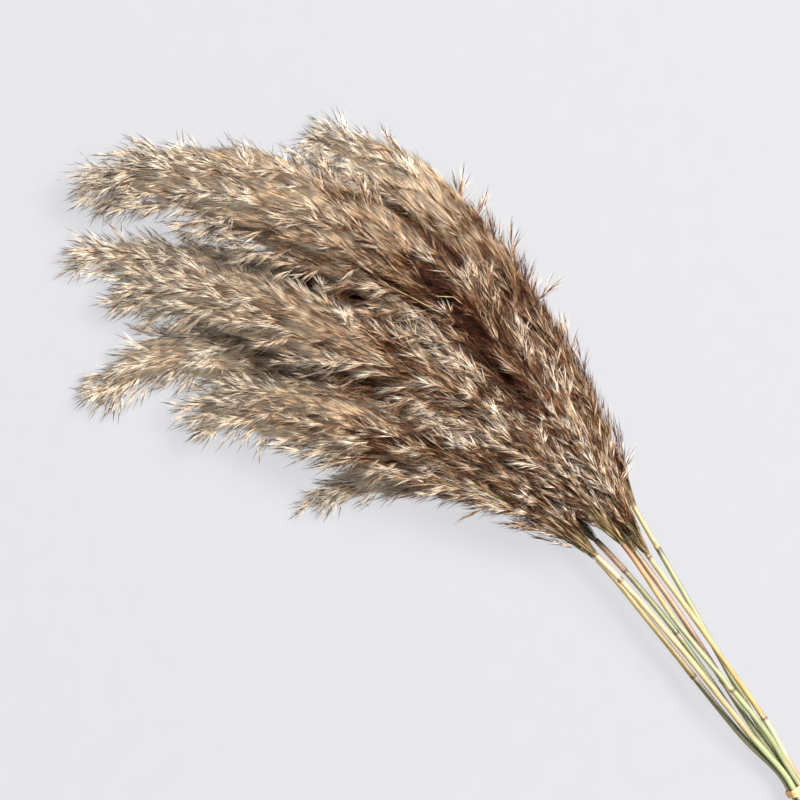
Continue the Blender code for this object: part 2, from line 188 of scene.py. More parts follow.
HAIR_SPLAY_RANGE = (0.2, 1.7)
HAIR_STRAYS = 0.08
HAIR_CAP = 0.03

# Matted down: fine strands on the core's skin, shorter towards the plume's tip, which close up in pointed tufts.
DOWN_DENSITY = 1.0 / MM ** 2
DOWN_LENGTH = 19.0 * MM
DOWN_LENGTH_RANGE = (0.6, 1.15)
DOWN_AT_BASE = 1.1
DOWN_SHORTENS = 0.5
DOWN_RADIUS = 0.19 * MM
DOWN_LIFT = math.radians(15)
DOWN_LIFT_RANGE = (0.3, 1.6)
DOWN_STRAYS = 0.12
TUFT_DENSITY = 0.02 / MM ** 2
TUFT_AHEAD = 15.0 * MM
TUFT_DRAWN = 0.55
TUFT_DRAWN_RANGE = (0.6, 1.1)

# Core: the plume's heart, where the down is packed. Shares of the rachis and of the plume's outline, and the
# skin's ridges: how many go round it, how far they stand, and how far and how often they wave along it.
CORE_SPAN = (0.03, 0.94)
CORE_SHARE = 0.68
CORE_RINGS = 120
CORE_SIDES = 40
CORE_RIDGES = ((3, 0.1), (7, 0.08), (12, 0.06))
RIDGE_WAVE = 2.5
RIDGE_WAVES = 9
CORE_BLUNTNESS = 6

# The parting: a dark slit along the top of the widest plume, from the tie in mm, and how the strands near it
# stand aside, sink and darken. Their darkening is painted shade in the slit.
PARTING = ((368, -58, 0), (317, -53.4, 0), (268, -45.3, 0))
PARTING_HALF_WIDTH = 4.2 * MM
PARTING_PUSH = 4.5 * MM
PARTING_SINKS = 0.62
PARTING_PAINTED_SHADE = 1.5
PARTING_ABOVE = (48.0 * MM, 62.0 * MM)

# Raffia tie: three turns of a twisted strand, a knot and two frayed tails. Twists are in radians for each metre.
# The strand's plies are flattened, and wave a little to each side.
RAFFIA_HALF_WIDTH = 1.0 * MM
RAFFIA_HALF_THICKNESS = 0.5 * MM
RAFFIA_TURNS = 3
RAFFIA_PITCH = 1.25 * MM
RAFFIA_TWIST = 18.0
RAFFIA_STEP = 0.5 * MM
RAFFIA_PLIES = 7
PLY_RADIUS = 0.3 * MM
PLY_RADIUS_RANGE = (0.8, 1.15)
PLY_SIDES = 8
PLY_SQUASH = 0.6
PLY_TURN = 0.4
PLY_WAVE = 2.6 * MM
PLY_WOBBLE = 0.08 * MM
TOUCH_GAP = 0.3 * MM
KNOT_RADIUS = 2.3 * MM
KNOT_OUT = 0.8
KNOT_POINTS = 73
KNOT_SHAPE = (0.5, 0.45, 0.62)
KNOT_HALF_WIDTH = 0.5 * MM
KNOT_HALF_THICKNESS = 0.3 * MM
KNOT_TWIST = 300.0
TAIL_REACH = 26.0 * MM
TAIL_BEND = (0.35, 0.6)
TAIL_MIDDLE_ASIDE = 6.0 * MM
TAIL_END_ASIDE = 4.0 * MM
TAIL_END_HEIGHT = 0.8 * MM
TAIL_SPREADS = (0.45, 1.0)
TAIL_WIDTH_SHARE = 0.8
TAIL_STEP = 0.7 * MM
TAIL_TWIST = 90.0
TAIL_NARROW, TAIL_FRAY, FRAY_FROM, FRAY_POWER = 0.7, 3.2, 0.6, 1.5

# One row for each reed, from the bundle's right side to its left. Lengths in mm, measured from the tie: slot in
# the tie, length to the foot, culm nodes, plume radius, a point of the culm and those of the plume's rachis,
# height above the surface last.
REEDS = (
    dict(slot=4, foot=74, nodes=(60, 166), sheath=None, buds=((166, 2.2),), radius=26,
         turn=(120, -31.5, 17),
         plume=((187, -49.5, 19), (240, -66, 18), (297, -78, 18), (366, -87, 18), (425, -86, 18),
                (484, -73, 13))),
    dict(slot=3, foot=70, nodes=(46, 169), sheath=(-60, 22), buds=((46, 1.2),), radius=34,
         turn=(120, -28, 34),
         plume=((165, -34.8, 41), (252, -51, 56), (321, -55, 62), (372, -50, 62), (416, -43, 60),
                (456, -28, 56), (492, -9, 50), (525, 14, 42), (550, 50, 24))),
    dict(slot=None, foot=77, nodes=(79,), sheath=(79, 166), buds=(), radius=22,
         turn=(120, -23.2, 17),
         plume=((168, -31.2, 20), (242, -43, 18), (313, -42, 16), (379, -23, 16), (432, 8, 16), (483, 43, 15),
                (535, 83, 9))),
    dict(slot=2, foot=72, nodes=(74, 130), sheath=None, buds=((74, 0.6),), radius=26,
         turn=(120, -18.4, 35),
         plume=((178, -28.5, 43), (246, -31, 58), (313, -21, 64), (373, 0, 62), (426, 24, 50), (465, 50, 36),
                (499, 77, 16))),
    dict(slot=5, foot=68, nodes=(119, 167), sheath=(167, 190), buds=((144, 0.4),), radius=23,
         turn=(120, -15, 17),
         plume=((188, -19.5, 21), (246, -16, 18), (309, -2, 16), (369, 20, 16), (420, 52, 16), (450, 92, 14),
                (459, 137, 8))),
    dict(slot=1, foot=76, nodes=(53, 166.5), sheath=(166.5, 195), buds=(), radius=25,
         turn=(120, -10.5, 35),
         plume=((184, -13, 43), (243, -8, 52), (298, 11, 56), (348, 36, 51), (384, 65, 38), (413, 98, 20))),
    dict(slot=0, foot=71, nodes=(92,), sheath=(92, 97), buds=(), radius=13,
         turn=(120, -6.5, 18),
         plume=((179, -12, 21), (220, -9, 17), (257, 4, 14), (288, 26, 13), (312, 54, 12), (323, 89, 8))),
)

# How pale each plume is, from 0, brown, to 1, cream.
PALENESS = (0.52, 0.8, 0.84, 0.72, 0.93, 0.74, 0.75)

# Each culm's colours, from its foot to its plume: distance from the tie in mm, and the colour that starts there.
CULM_COLOURS = (
    ((-74, "#676C4B"), (0, "#727A56"), (88, "#787E5E"), (158, "#7A7F5F"), (165.4, "#2C2216"), (166.6, "#9A8D6E"),
     (178, "#94855F")),
    ((-71, "#846D56"), (20, "#9C8066"), (22, "#8C967C"), (43, "#929A82"), (45, "#9A9484"), (46.6, "#332719"),
     (48, "#978455"), (110, "#9B8A65"), (166, "#9E9070"), (168.6, "#231610"), (169.8, "#8D7B66")),
    ((-77, "#6F7A5C"), (0, "#7A8567"), (60, "#7E886B"), (76, "#7A6E56"), (79, "#533D32"), (82, "#8A6F5C"),
     (150, "#8A715E"), (166, "#6C5642"), (171, "#56533C")),
    ((-73, "#6E7353"), (0, "#757D5B"), (72, "#7C8765"), (74, "#524A34"), (76, "#7E8769"), (128, "#777F61"),
     (136, "#93845F"), (150, "#967D50"), (170, "#957150"), (180, "#6C4C2F")),
    ((-67, "#5F6748"), (60, "#535C40"), (112, "#5E6748"), (117, "#8F7D69"), (119, "#463829"), (121, "#67704E"),
     (160, "#7B805E"), (165, "#93886D"), (167, "#483728"), (168.2, "#967D6A"), (182, "#987D65"), (192, "#644E3A")),
    ((-76, "#76805E"), (40, "#81916C"), (50, "#8A7F5E"), (53, "#90805F"), (110, "#99896A"), (166, "#9C8E70"),
     (168.4, "#42281E"), (170, "#9C907D"), (182, "#8F8471")),
    ((-70, "#7B8462"), (60, "#6E7057"), (89, "#686450"), (91, "#9C8F7F"), (92.4, "#311E16"), (94, "#87784F"),
     (140, "#93895F"), (180, "#868059")),
)

# How pale each spikelet is: its plume's paleness, what its share of the rachis adds, what being out and along its
# branch add past the mean of both, what lying deep takes off, at the base most, and soft patches, with their
# strength and their length. Each tuft and spikelet varies too. What the share adds is partly the plume's own
# colour, paler at the tip, and partly painted light on the tips and painted shade at the base. What being out
# adds is painted shade inside the plume, and what lying deep takes off is painted shade under the other plumes.
PALER_AHEAD = ((0.0, 0.2, 0.45, 0.6, 0.8, 1.0), (-1.05, -0.96, -0.72, -0.14, 0.58, 1.0))
PAINTED_SHADE_INSIDE = 0.65
ALONG_PALER = 0.3
MEAN_PLACE = 0.6
DEPTH_PAINTED_SHADE = 1.45
DEPTH_FULL = 45.0 * MM
DEPTH_FADES = 1.2
MEAN_DEPTH = 0.15
PATCHES = ((0.12, 40 * MM), (0.1, 13 * MM))
WAVE_RANGE = (0.7, 1.4)
TUFT_VARIES = 0.2
SPIKELET_VARIES = 0.2

# A strand's tone, its place on the ramp, is a start and a rise: by paleness on lemmas, hairs and down, and by the
# share of the rachis on branches and branchlets. The last number, where there is one, is how much it varies.
LEMMA_TONE = (0.24, 0.12, 0.18)
HAIR_TONE = (0.26, 0.85, 0.2)
DOWN_TONE = (0.18, 0.85)
DOWN_VARIES = 0.26
DOWN_TUFT_VARIES = 0.25
BRANCH_TONE = (0.16, 1.1, 0.12)
BRANCHLET_TONE = (0.78, -0.1, 0.1)
RACHIS_TONE = 0.35
BRISTLE_TONES = (0.04, 0.1, 0.4, 0.47, 0.8, 0.9, 0.96)
BRISTLE_VARIES = 0.05

# Colours are sRGB. TONES run from the darkest strand to the palest, or along the core, and SHADES multiply them,
# from root to tip on a strand; on hairs and down that ramp is painted shade at the root. SOCKETS are a shader's
# even settings.

# Lemmas: dead bracts, stiff and papery. They give the eye thin, matt, dark red-brown needles.
LEMMA_TONES = ((0.0, "#180A05"), (0.4, "#3C1E0D"), (0.75, "#5A321A"), (1.0, "#8E6440"))
LEMMA_SHADES = ((0.0, "#B39A80"), (0.4, "#FFFFFF"), (0.75, "#B08E70"), (1.0, "#5C412B"))
LEMMA_SOCKETS = {"Roughness": 0.6, "Specular IOR Level": 0.2}

# Seed hairs: silky and clear, so light passes into them. They give the eye a cream fringe, brown at the root with
# painted shade.
HAIR_TONES = ((0.0, "#2A1409"), (0.25, "#82593D"), (0.5, "#D5C2AF"), (0.75, "#F3EBE2"), (1.0, "#F9F4EC"))
HAIR_ROOT_PAINTED_SHADE = ((0.0, "#6E543C"), (0.5, "#F0E4D2"), (1.0, "#FFFFFF"))
FLUFF = {"Subsurface Weight": 0.6, "Subsurface Scale": 0.5 * MM, "Subsurface Radius": (1.0, 0.8, 0.6)}
HAIR_SOCKETS = {"Roughness": 0.6, "Specular IOR Level": 0.2, **FLUFF}

# Down: the same hairs matted together. It gives the eye soft, dull fluff with no gloss, darker at the root with
# painted shade.
DOWN_TONES = ((0.0, "#1C0C05"), (0.25, "#63432C"), (0.5, "#AE9580"), (0.75, "#E0D1C1"), (1.0, "#F4EADD"))
DOWN_ROOT_PAINTED_SHADE = ((0.0, "#5A4029"), (0.6, "#DCCDBA"), (1.0, "#FFFFFF"))
DOWN_SOCKETS = {"Roughness": 0.8, "Specular IOR Level": 0.1, **FLUFF}

# Packed down: the shaded inside of the plume, its dark colour painted shade. It gives the eye the brown dark
# between the strands, and the dark gaps between its streaks are painted shade too. The cells of its patterns are
# counted round the plume and along it. Its core is about 105 mm round and 300 mm long, so a streak is 1 mm by 8 mm,
# coarser than real down so that it shows, and a tuft is 8 mm by 19 mm.
CORE_PAINTED_SHADE_TONES = ((0.0, "#1B110A"), (0.35, "#342617"), (0.5, "#574636"), (0.7, "#73604D"), (1.0, "#83705C"))
CORE_STREAKS_SHADED_GAPS = ((0.3, "#4A3A2E"), (0.42, "#B5ABA2"), (0.5, "#E8E4E0"), (0.62, "#FFFFFF"))
CORE_STREAK_CELLS = (110.0, 40.0)
CORE_TUFTS = ((0.3, "#A89E94"), (0.6, "#FFFFFF"))
CORE_TUFT_CELLS = (14.0, 16.0)
CORE_BUMP = {"Strength": 0.6, "Distance": 0.6 * MM}
CORE_SOCKETS = {"Roughness": 0.9, "Specular IOR Level": 0.05}

# Branches: thin dry grass stems. They give the eye green and straw at the plume's base, dark brown at its tip.
BRANCH_TONES = ((0.0, "#363D24"), (0.2, "#605E36"), (0.42, "#9A8866"), (0.6, "#7C5A3C"), (1.0, "#26160C"))
BRANCH_SHADES = ((0.0, "#D8D0B8"), (0.5, "#FFFFFF"), (1.0, "#C9A27C"))
BRANCH_SOCKETS = {"Roughness": 0.5, "Specular IOR Level": 0.35}

# Culms: dried reed, whose hard skin is a little waxy. It gives the eye a soft gloss on straw and green. Cells are
# counted round a stem of 12 mm and measured along it, so a streak is 1 mm by 14 mm and a ridge 0.35 mm by 12 mm.
CUT_COLOUR = "#D9C79E"
ZONE_WANDER = 1.4 * MM
ZONE_CELLS = (5.0, 9 * MM)
STREAK_CELLS = (12.0, 14 * MM)
STREAK_SHADES = ((0.3, "#A89D8C"), (0.5, "#D8D3CB"), (0.7, "#E8E6E3"))
SPECK_CELLS = (9.0, 1.6 * MM)
SPECK_SHADES = ((0.24, "#B8A690"), (0.3, "#FBF9F6"), (1.0, "#FFFFFF"))
FIBRE_CELLS = (34.0, 12 * MM)
CULM_BUMP = {"Strength": 0.12, "Distance": 0.06 * MM}
CULM_ROUGHNESS = {"To Min": 0.42, "To Max": 0.62}
CULM_SOCKETS = {"Specular IOR Level": 0.5, "Coat Weight": 0.15, "Coat Roughness": 0.35}

# Raffia: strips of dried palm leaf. It gives the eye a pale, papery, faintly glossy strand. Nine fibres go round a
# ply of 1.9 mm, so one is 0.2 mm wide, and fourteen lie along it.
RAFFIA_TONES = ((0.25, "#8F6C45"), (0.5, "#C9A473"), (0.75, "#E6CDA3"))
RAFFIA_CELLS = (9.0, 14.0)
RAFFIA_BUMP = {"Strength": 0.4, "Distance": 0.1 * MM}
RAFFIA_SOCKETS = {"Roughness": 0.55, "Specular IOR Level": 0.4}

# Floor: a matt painted board. It gives the eye an even near white. Most of it is glow, so that the shadow on it
# stays as faint as in the photograph, and its mottle is 17 mm across, 60 to the metre.
FLOOR_TONES = ((0.3, "#2E3032"), (0.7, "#313235"))
FLOOR_MOTTLE = 60.0
FLOOR_SOCKETS = {"Roughness": 0.9, "Specular IOR Level": 0.1, "Emission Color": "#F4F4F8",
                 "Emission Strength": 0.73}

# The stage: the key light's place, width across in metres, power in watts and colour, the sky and the camera.
# The camera's lens makes a frame 800 pixels wide span 464 mm at 1.5 m.
FLOOR_SIZE = 12.0
KEY_PLACE = (-0.35, -1.35, 2.5)
KEY_SIZE, KEY_POWER, KEY_COLOUR = 1.2, 415.0, "#FFF9F1"
WORLD_COLOUR = "#FAF3EA"
WORLD_STRENGTH = 0.85
CAMERA_PLACE = (0.0838, -0.017, 1.545)
CAMERA_TURN = math.radians(225)
CAMERA_SENSOR = 36.0
CAMERA_LENS = CAMERA_SENSOR * 1500 / 464


def unit(vectors):
    return vectors / np.maximum(np.linalg.norm(vectors, axis=-1, keepdims=True), 1e-12)


def lengths_along(path):
    """How far along the path each of its points lies."""
    return np.concatenate([[0.0], np.cumsum(np.linalg.norm(np.diff(path, axis=0), axis=1))])


def rows_between(rows, at):
    """Rows read at fractional indexes, by straight interpolation between neighbours."""
    at = np.clip(at, 0.0, len(rows) - 1.0)
    low = np.minimum(at.astype(int), len(rows) - 2)
    part = (at - low)[..., None]
    return rows[low] * (1 - part) + rows[low + 1] * part


def smooth_line(points, step):
    """A smooth curve through the points, read again at even steps along its length. Each span is the cubic
    whose slope at a point is half the chord between that point's two neighbours."""
    points = np.asarray(points, float)
    ends = np.concatenate([2 * points[:1] - points[1:2], points, 2 * points[-1:] - points[-2:-1]])
    before, start, end, after = (ends[first:len(ends) - 3 + first, None] for first in range(4))
    share = np.linspace(0, 1, CURVE_READINGS, endpoint=False)[None, :, None]
    spans = 0.5 * (2 * start + (end - before) * share
                   + (2 * before - 5 * start + 4 * end - after) * share ** 2
                   + (3 * start - 3 * end + after - before) * share ** 3)
    dense = np.concatenate([spans.reshape(-1, 3), points[-1:]])
    run = lengths_along(dense)
    even = np.linspace(0, run[-1], max(2, round(run[-1] / step)) + 1)
    return np.stack([np.interp(even, run, dense[:, axis]) for axis in range(3)], axis=1)


def across_tie(slot):
    """The direction from the tie's middle to a slot, which may be a fraction."""
    angle = slot * math.tau / 6
    return TIE_ASIDE * math.cos(angle) + TIE_OVER * math.sin(angle)


def tie_slot(slot):
    """The middle of a culm in the tie: one in the middle, six round it."""
    if slot is None:
        return TIE_PLACE
    return TIE_PLACE + across_tie(slot) * (2 * CULM_RADIUS + CULM_GAP)


class Reed:
    """One reed's middle line, from its foot to its tip, and its plume's frame."""

    def __init__(self, number, row):
        self.number = number
        self.radius = row["radius"] * MM
        self.nodes = np.array(row["nodes"]) * MM
        tie = tie_slot(row["slot"])
        spread = tie - TIE_PLACE
        foot = tie + spread * FOOT_SPREAD - TIE_AHEAD * row["foot"] * MM
        foot[2] = max(foot[2], CULM_RADIUS)
        held = TIE_AHEAD * HELD_STRAIGHT
        flare = tie + spread + FLARE_PLACE
        under_tie = TIE_PLACE * (1, 1, 0)
        turn, *plume = [under_tie + np.array(point) * MM for point in (row["turn"], *row["plume"])]
        self.line = smooth_line([foot, tie - held, tie, tie + held, flare, turn, *plume], LINE_STEP)
        self.base = int(np.argmin(np.linalg.norm(self.line - plume[0], axis=1)))
        self.rings = len(self.line) - 1 - self.base
        self.length = lengths_along(self.line[self.base:])[-1]
        self.tangents = unit(np.gradient(self.line, axis=0))
        self.culm_run = lengths_along(self.line[:self.base + 1])
        self.tie_run = float(np.interp(TIE_PLACE[0], self.line[:self.base + 1, 0], self.culm_run))
        self.ups = unit(UP - self.tangents * self.tangents[:, 2:3])
        self.sides = np.cross(self.ups, self.tangents)

    def outline(self, share):
        """The plume's radius at shares of the rachis."""
        at, size = zip(*PLUME_OUTLINE)
        return np.interp(share, at, size) * self.radius

    def point(self, share):
        """Points on the rachis, and straight on from its tip where a share is over 1."""
        past = np.maximum(share - 1.0, 0.0) * self.length
        return rows_between(self.line, self.base + share * self.rings) + self.tangents[-1] * past[..., None]

    def outward(self, share, turn):
        """The direction out from the rachis at an angle round it, from its side towards its top."""
        at = self.base + share * self.rings
        sides, ups = rows_between(self.sides, at), rows_between(self.ups, at)
        return sides * np.cos(turn)[..., None] + ups * np.sin(turn)[..., None]


def any_way(draw, count):
    """Directions drawn evenly over the sphere."""
    return unit(draw.normal(size=(count, 3)))


def splayed(draw, ahead, angle, lean=0.0):
    """Each direction turned aside by its angle, all ways round, with a lean added to the way it turns to."""
    aside = any_way(draw, len(ahead)) + lean
    aside = unit(aside - ahead * (aside * ahead).sum(-1, keepdims=True))
    return ahead * np.cos(angle)[:, None] + aside * np.sin(angle)[:, None]


def raised(path, clearance):
    """The path with no point lower than the clearance above the surface."""
    path = path.copy()
    path[..., 2] = np.maximum(path[..., 2], clearance)
    return path


def parting(points):
    """How near each point is to the parting, seen from above: 1 on it, exp(-(distance / half width) squared)
    beside it, and none low down in the bundle. Also the level direction away from it."""
    line = smooth_line(np.array(PARTING) * MM + TIE_PLACE, LINE_STEP)[:, :2]
    apart = points[..., None, :2] - line
    distance = np.linalg.norm(apart, axis=-1)
    nearest = distance.argmin(axis=-1)[..., None]
    away = np.take_along_axis(apart, nearest[..., None], axis=-2)[..., 0, :]
    closeness = np.exp(-(np.take_along_axis(distance, nearest, axis=-1)[..., 0] / PARTING_HALF_WIDTH) ** 2)
    closeness = closeness * np.interp(points[..., 2], PARTING_ABOVE, (0, 1))
    return closeness, np.concatenate([unit(away), np.zeros_like(away[..., :1])], axis=-1)


def parted(paths):
    """The paths moved aside from the parting."""
    closeness, away = parting(paths)
    return paths + away * (PARTING_PUSH * closeness)[..., None]


def grow_branches(reed, draw):
    """Branch i starts at its share of the rachis and turns by the golden angle. Along it, from 0 to 1, it keeps
    with the rachis, moves out to its reach by along ** bow, less where that is up, and nods by along squared.
    Then it stands aside from the parting."""
    count = round(reed.length / BRANCH_SPACING * reed.radius / USUAL_RADIUS)
    order = np.arange(count)
    start = ((order + draw.uniform(0, 1, count)) / count) ** BASE_CROWD
    start = BRANCH_FIRST + (BRANCH_LAST - BRANCH_FIRST) * start
    turn = order * GOLDEN_ANGLE + draw.normal(0, TURN_VARIES, count)
    length = BRANCH_BASE_LENGTH + (BRANCH_TIP_LENGTH - BRANCH_BASE_LENGTH) * start
    length = length * draw.uniform(*BRANCH_LENGTH_RANGE, count)
    length = np.maximum(np.minimum(length, (1 - start) * reed.length - TIP_ROOM), LEAST_BRANCH)
    along = np.linspace(0, 1, BRANCH_POINTS)
    share = start[:, None] + along * (length / reed.length)[:, None]
    reach = reed.outline(np.minimum(share[:, -1], 1.0)) * WIDEST_REACH
    reach = reach * draw.uniform(*REACH_RANGE, count) ** REACH_POWER * np.interp(share[:, -1], *TIP_NARROWS)
    rise = ROOT_SINK + (np.maximum(reach, ROOT_SINK) - ROOT_SINK)[:, None] * along ** BRANCH_BOW
    grown = np.minimum(1.0, NOD_AT_BASE + NOD_GROWS * start)
    nod = BRANCH_NOD * reed.radius / USUAL_RADIUS * along ** 2 * grown[:, None]
    nod = nod * draw.uniform(*NOD_RANGE, count)[:, None]
    outward = reed.outward(share, np.broadcast_to(turn[:, None], share.shape))
    outward[..., 2] = np.where(outward[..., 2] > 0, outward[..., 2] * TOP_SHARE, outward[..., 2])
    path = reed.point(share) + outward * rise[..., None] + NOD_DIRECTION * nod[..., None]
    return start, length, parted(raised(path, FLOOR_CLEARANCE + BRANCH_ROOT_RADIUS))


def grow_bristles(reed, draw):
    """Bristles leave the stem's top and the rachis's foot all the way round, close together and nearly along it."""
    share = draw.uniform(BRISTLE_FIRST, BRISTLE_REACH / reed.length, BRISTLES)
    turn = draw.uniform(0, math.tau, BRISTLES)
    size = BRISTLE_LENGTH * draw.uniform(*BRISTLE_LENGTH_RANGE, BRISTLES)
    lean = np.tan(BRISTLE_SPLAY * draw.uniform(*BRISTLE_SPLAY_RANGE, BRISTLES))
    along = np.linspace(0, 1, BRISTLE_POINTS)
    ahead = share[:, None] + along * (size / reed.length)[:, None]
    rise = CULM_RADIUS * BRISTLE_ROOT + (lean * size)[:, None] * along
    outward = reed.outward(ahead, np.broadcast_to(turn[:, None], ahead.shape))
    return raised(reed.point(ahead) + outward * rise[..., None], FLOOR_CLEARANCE)


def numbered(counts):
    """For owners that carry so many each: every one's owner, and its number on that owner from 0."""
    owner = np.repeat(np.arange(len(counts)), counts)
    return owner, np.arange(len(owner)) - np.repeat(np.cumsum(counts) - counts, counts)


def read_paths(paths, owner, share):
    """Points and directions on many paths at once: path owner[i] at share[i] of it."""
    stations = paths.shape[1] - 1
    at = np.clip(share, 0, 1) * stations
    low = np.minimum(at.astype(int), stations - 1)
    start, end = paths[owner, low], paths[owner, low + 1]
    return start + (end - start) * (at - low)[:, None], unit(end - start)


def grow_branchlets(paths, lengths, starts, radius, draw):
    """Branchlets leave the outer part of each branch at even shares of it, splayed from it, and sag by the square
    of the way along. Returns their paths, and each one's place on the rachis and on its branch, as shares."""
    counts = np.maximum(3, np.round(lengths * (1 - BRANCHLET_FIRST) / BRANCHLET_SPACING)).astype(int)
    owner, order = numbered(counts)
    share = (order + draw.uniform(*BRANCHLET_PLACE_RANGE, len(owner))) / counts[owner]
    share = BRANCHLET_FIRST + (1 - BRANCHLET_FIRST) * share
    root, ahead = read_paths(paths, owner, share)
    size = np.interp(share, (0, 1), BRANCHLET_LENGTHS) * draw.uniform(*BRANCHLET_LENGTH_RANGE, len(owner))
    grown = np.interp(lengths[owner], (0, BRANCH_BASE_LENGTH), SHORT_AND_LONG_BRANCH)
    size *= grown * min(1.0, radius / USUAL_RADIUS)
    loose = np.interp(starts[owner] + share * LOOSER_OUT, *LOOSENESS)
    angle = BRANCHLET_SPLAY * draw.uniform(*BRANCHLET_SPLAY_RANGE, len(owner)) * loose
    ahead = splayed(draw, ahead, angle, NOD_DIRECTION * LEAN_TO_NOD)
    along = np.array((0.0, 0.5, 1.0))[None, :, None]
    sag = NOD_DIRECTION * size[:, None, None] * BRANCHLET_SAG * along ** 2
    path = root[:, None] + ahead[:, None] * size[:, None, None] * along + sag
    return raised(path, FLOOR_CLEARANCE + BRANCHLET_RADIUS), starts[owner], share


def grow_spikelets(paths, shares, draw):
    """Spikelets sit at even steps on each branchlet, splayed from it, and one ends it nearly in line."""
    sizes = np.linalg.norm(paths[:, -1] - paths[:, 0], axis=1)
    counts = np.maximum(2, np.round(sizes / SPIKELET_SPACING)).astype(int)
    owner, order = numbered(counts)
    root, ahead = read_paths(paths, owner, (order + 1.0) / counts[owner])
    angle = np.where(order + 1 == counts[owner], END_SPLAY, SPIKELET_SPLAY)
    angle = angle * draw.uniform(*SPIKELET_SPLAY_RANGE, len(owner))
    angle *= np.interp(shares[owner], *LOOSENESS)
    return owner, root, splayed(draw, ahead, angle, NOD_DIRECTION * LEAN_TO_NOD)


def grow_lemmas(root, ahead, draw):
    """Each spikelet's lemmas, staggered along it and splayed a little: root and tip of each."""
    owner = np.repeat(np.arange(len(root)), LEMMAS)
    order = np.tile(np.arange(LEMMAS), len(root))
    start = root[owner] + ahead[owner] * (LEMMA_FIRST + order * LEMMA_STAGGER)[:, None]
    way = splayed(draw, ahead[owner], LEMMA_SPLAY * draw.uniform(*LEMMA_SPLAY_RANGE, len(owner)))
    size = LEMMA_LENGTH * draw.uniform(*LEMMA_LENGTH_RANGE, len(owner))
    tip = start + way * size[:, None]
    return owner, raised(np.stack([start, tip], axis=1), FLOOR_CLEARANCE)


def grow_hairs(root, ahead, loose, draw):
    """Silky hairs that leave each spikelet along its lower half, shorter where it isn't loose: root and tip of
    each."""
    owner = np.repeat(np.arange(len(root)), HAIRS)
    start = root[owner] + ahead[owner] * draw.uniform(*HAIR_PLACE_RANGE, (len(owner), 1)) * HAIR_REACH
    way = splayed(draw, ahead[owner], HAIR_SPLAY * draw.uniform(*HAIR_SPLAY_RANGE, len(owner)) * loose[owner])
    size = HAIR_LENGTH * draw.uniform(*HAIR_LENGTH_RANGE, len(owner))
    size = size * np.minimum(1, TIGHT_HAIR + (1 - TIGHT_HAIR) * loose[owner])
    tip = start + (way + any_way(draw, len(owner)) * HAIR_STRAYS) * size[:, None]
    return owner, raised(np.stack([start, tip], axis=1), FLOOR_CLEARANCE)


def grow_down(reed, skin, draw):
    """Matted down: strands rooted evenly over the core's skin that lie along the plume, lifted from it. Each is
    drawn in to the tip of the nearest tuft by a share, so that they close up in pointed tufts. Returns the root
    and tip of each, its share of the rachis and its tuft."""
    points, faces, maps = skin
    corners = points[faces]
    normals = np.cross(corners[:, 1] - corners[:, 0], corners[:, 2] - corners[:, 0])
    areas = np.linalg.norm(normals, axis=1) / 2
    count, tufts = round(DOWN_DENSITY * areas.sum()), round(TUFT_DENSITY * areas.sum())
    picked = draw.choice(len(faces), count + tufts, p=areas / areas.sum())
    part = draw.dirichlet((1, 1, 1), count + tufts)
    root = (corners[picked] * part[..., None]).sum(axis=1)
    share = (maps[picked, :, 1] * part).sum(axis=1)
    ahead = rows_between(reed.tangents, reed.base + share * reed.rings)
    lift = DOWN_LIFT * draw.uniform(*DOWN_LIFT_RANGE, count + tufts)[:, None]
    way = ahead * np.cos(lift) + unit(normals[picked]) * np.sin(lift)
    way = unit(way + any_way(draw, count + tufts) * DOWN_STRAYS)
    size = DOWN_LENGTH * draw.uniform(*DOWN_LENGTH_RANGE, count + tufts) * (DOWN_AT_BASE - DOWN_SHORTENS * share)
    tip = root + way * size[:, None]
    heads, root, tip, share = tip[count:], root[:count], tip[:count], share[:count]
    sought = root + ahead[:count] * TUFT_AHEAD
    tuft = np.linalg.norm(sought[:, None] - heads[None], axis=2).argmin(axis=1)
    tip += (heads[tuft] - tip) * TUFT_DRAWN * draw.uniform(*TUFT_DRAWN_RANGE, count)[:, None]
    return raised(np.stack([root, tip], axis=1), FLOOR_CLEARANCE), share, tuft


def strand_template(rings):
    """One three-sided strand with a point at each end: its faces, and for each face's corners the step across
    the map (-1, 0 or 1) and the station along the strand."""
    corners = [(0, 0)] + [(side - 1, ring) for ring in range(1, rings + 1) for side in range(3)] + [(0, rings + 1)]
    faces = []
    for side in range(3):
        other = (side + 1) % 3
        faces.append((0, 1 + other, 1 + side))
        for ring in range(rings - 1):
            low, high = 1 + 3 * ring, 4 + 3 * ring
            faces.append((low + side, low + other, high + other))
            faces.append((low + side, high + other, high + side))
        top = 1 + 3 * (rings - 1)
        faces.append((top + side, top + other, 3 * rings + 1))
    faces = np.array(faces)
    return faces, np.array(corners, float)[faces]


def strands(paths, radius, tones, draw):
    """Many closed three-sided strands at once. The first and last point of each path are its ends, and round each
    point between them stand three corners, at thirds of a turn and the radius away. On the map a strand is a
    narrow upright band at its tone, from its root at 0 to its tip at 1."""
    count, stations = paths.shape[:2]
    rings = stations - 2
    ahead = unit(np.gradient(paths, axis=1))[:, 1:-1]
    across = unit(np.cross(ahead, any_way(draw, count)[:, None]))
    over = np.cross(ahead, across)
    angle = np.arange(3) * math.tau / 3
    radius = np.broadcast_to(radius, (count, rings))[..., None, None]
    wide, thin = radius * np.cos(angle)[:, None], radius * np.sin(angle)[:, None]
    corners = paths[:, 1:-1, None] + across[:, :, None] * wide + over[:, :, None] * thin
    points = np.concatenate([paths[:, :1], corners.reshape(count, -1, 3), paths[:, -1:]], axis=1)
    template, places = strand_template(rings)
    faces = template[None] + (np.arange(count) * points.shape[1])[:, None, None]
    maps = np.empty((count, *places.shape))
    maps[..., 0] = tones[:, None, None] + places[..., 0] * MAP_HALF_BAND
    maps[..., 1] = places[..., 1] / (rings + 1)
    return points.reshape(-1, 3), faces.reshape(-1, 3), maps.reshape(-1, 3, 2)


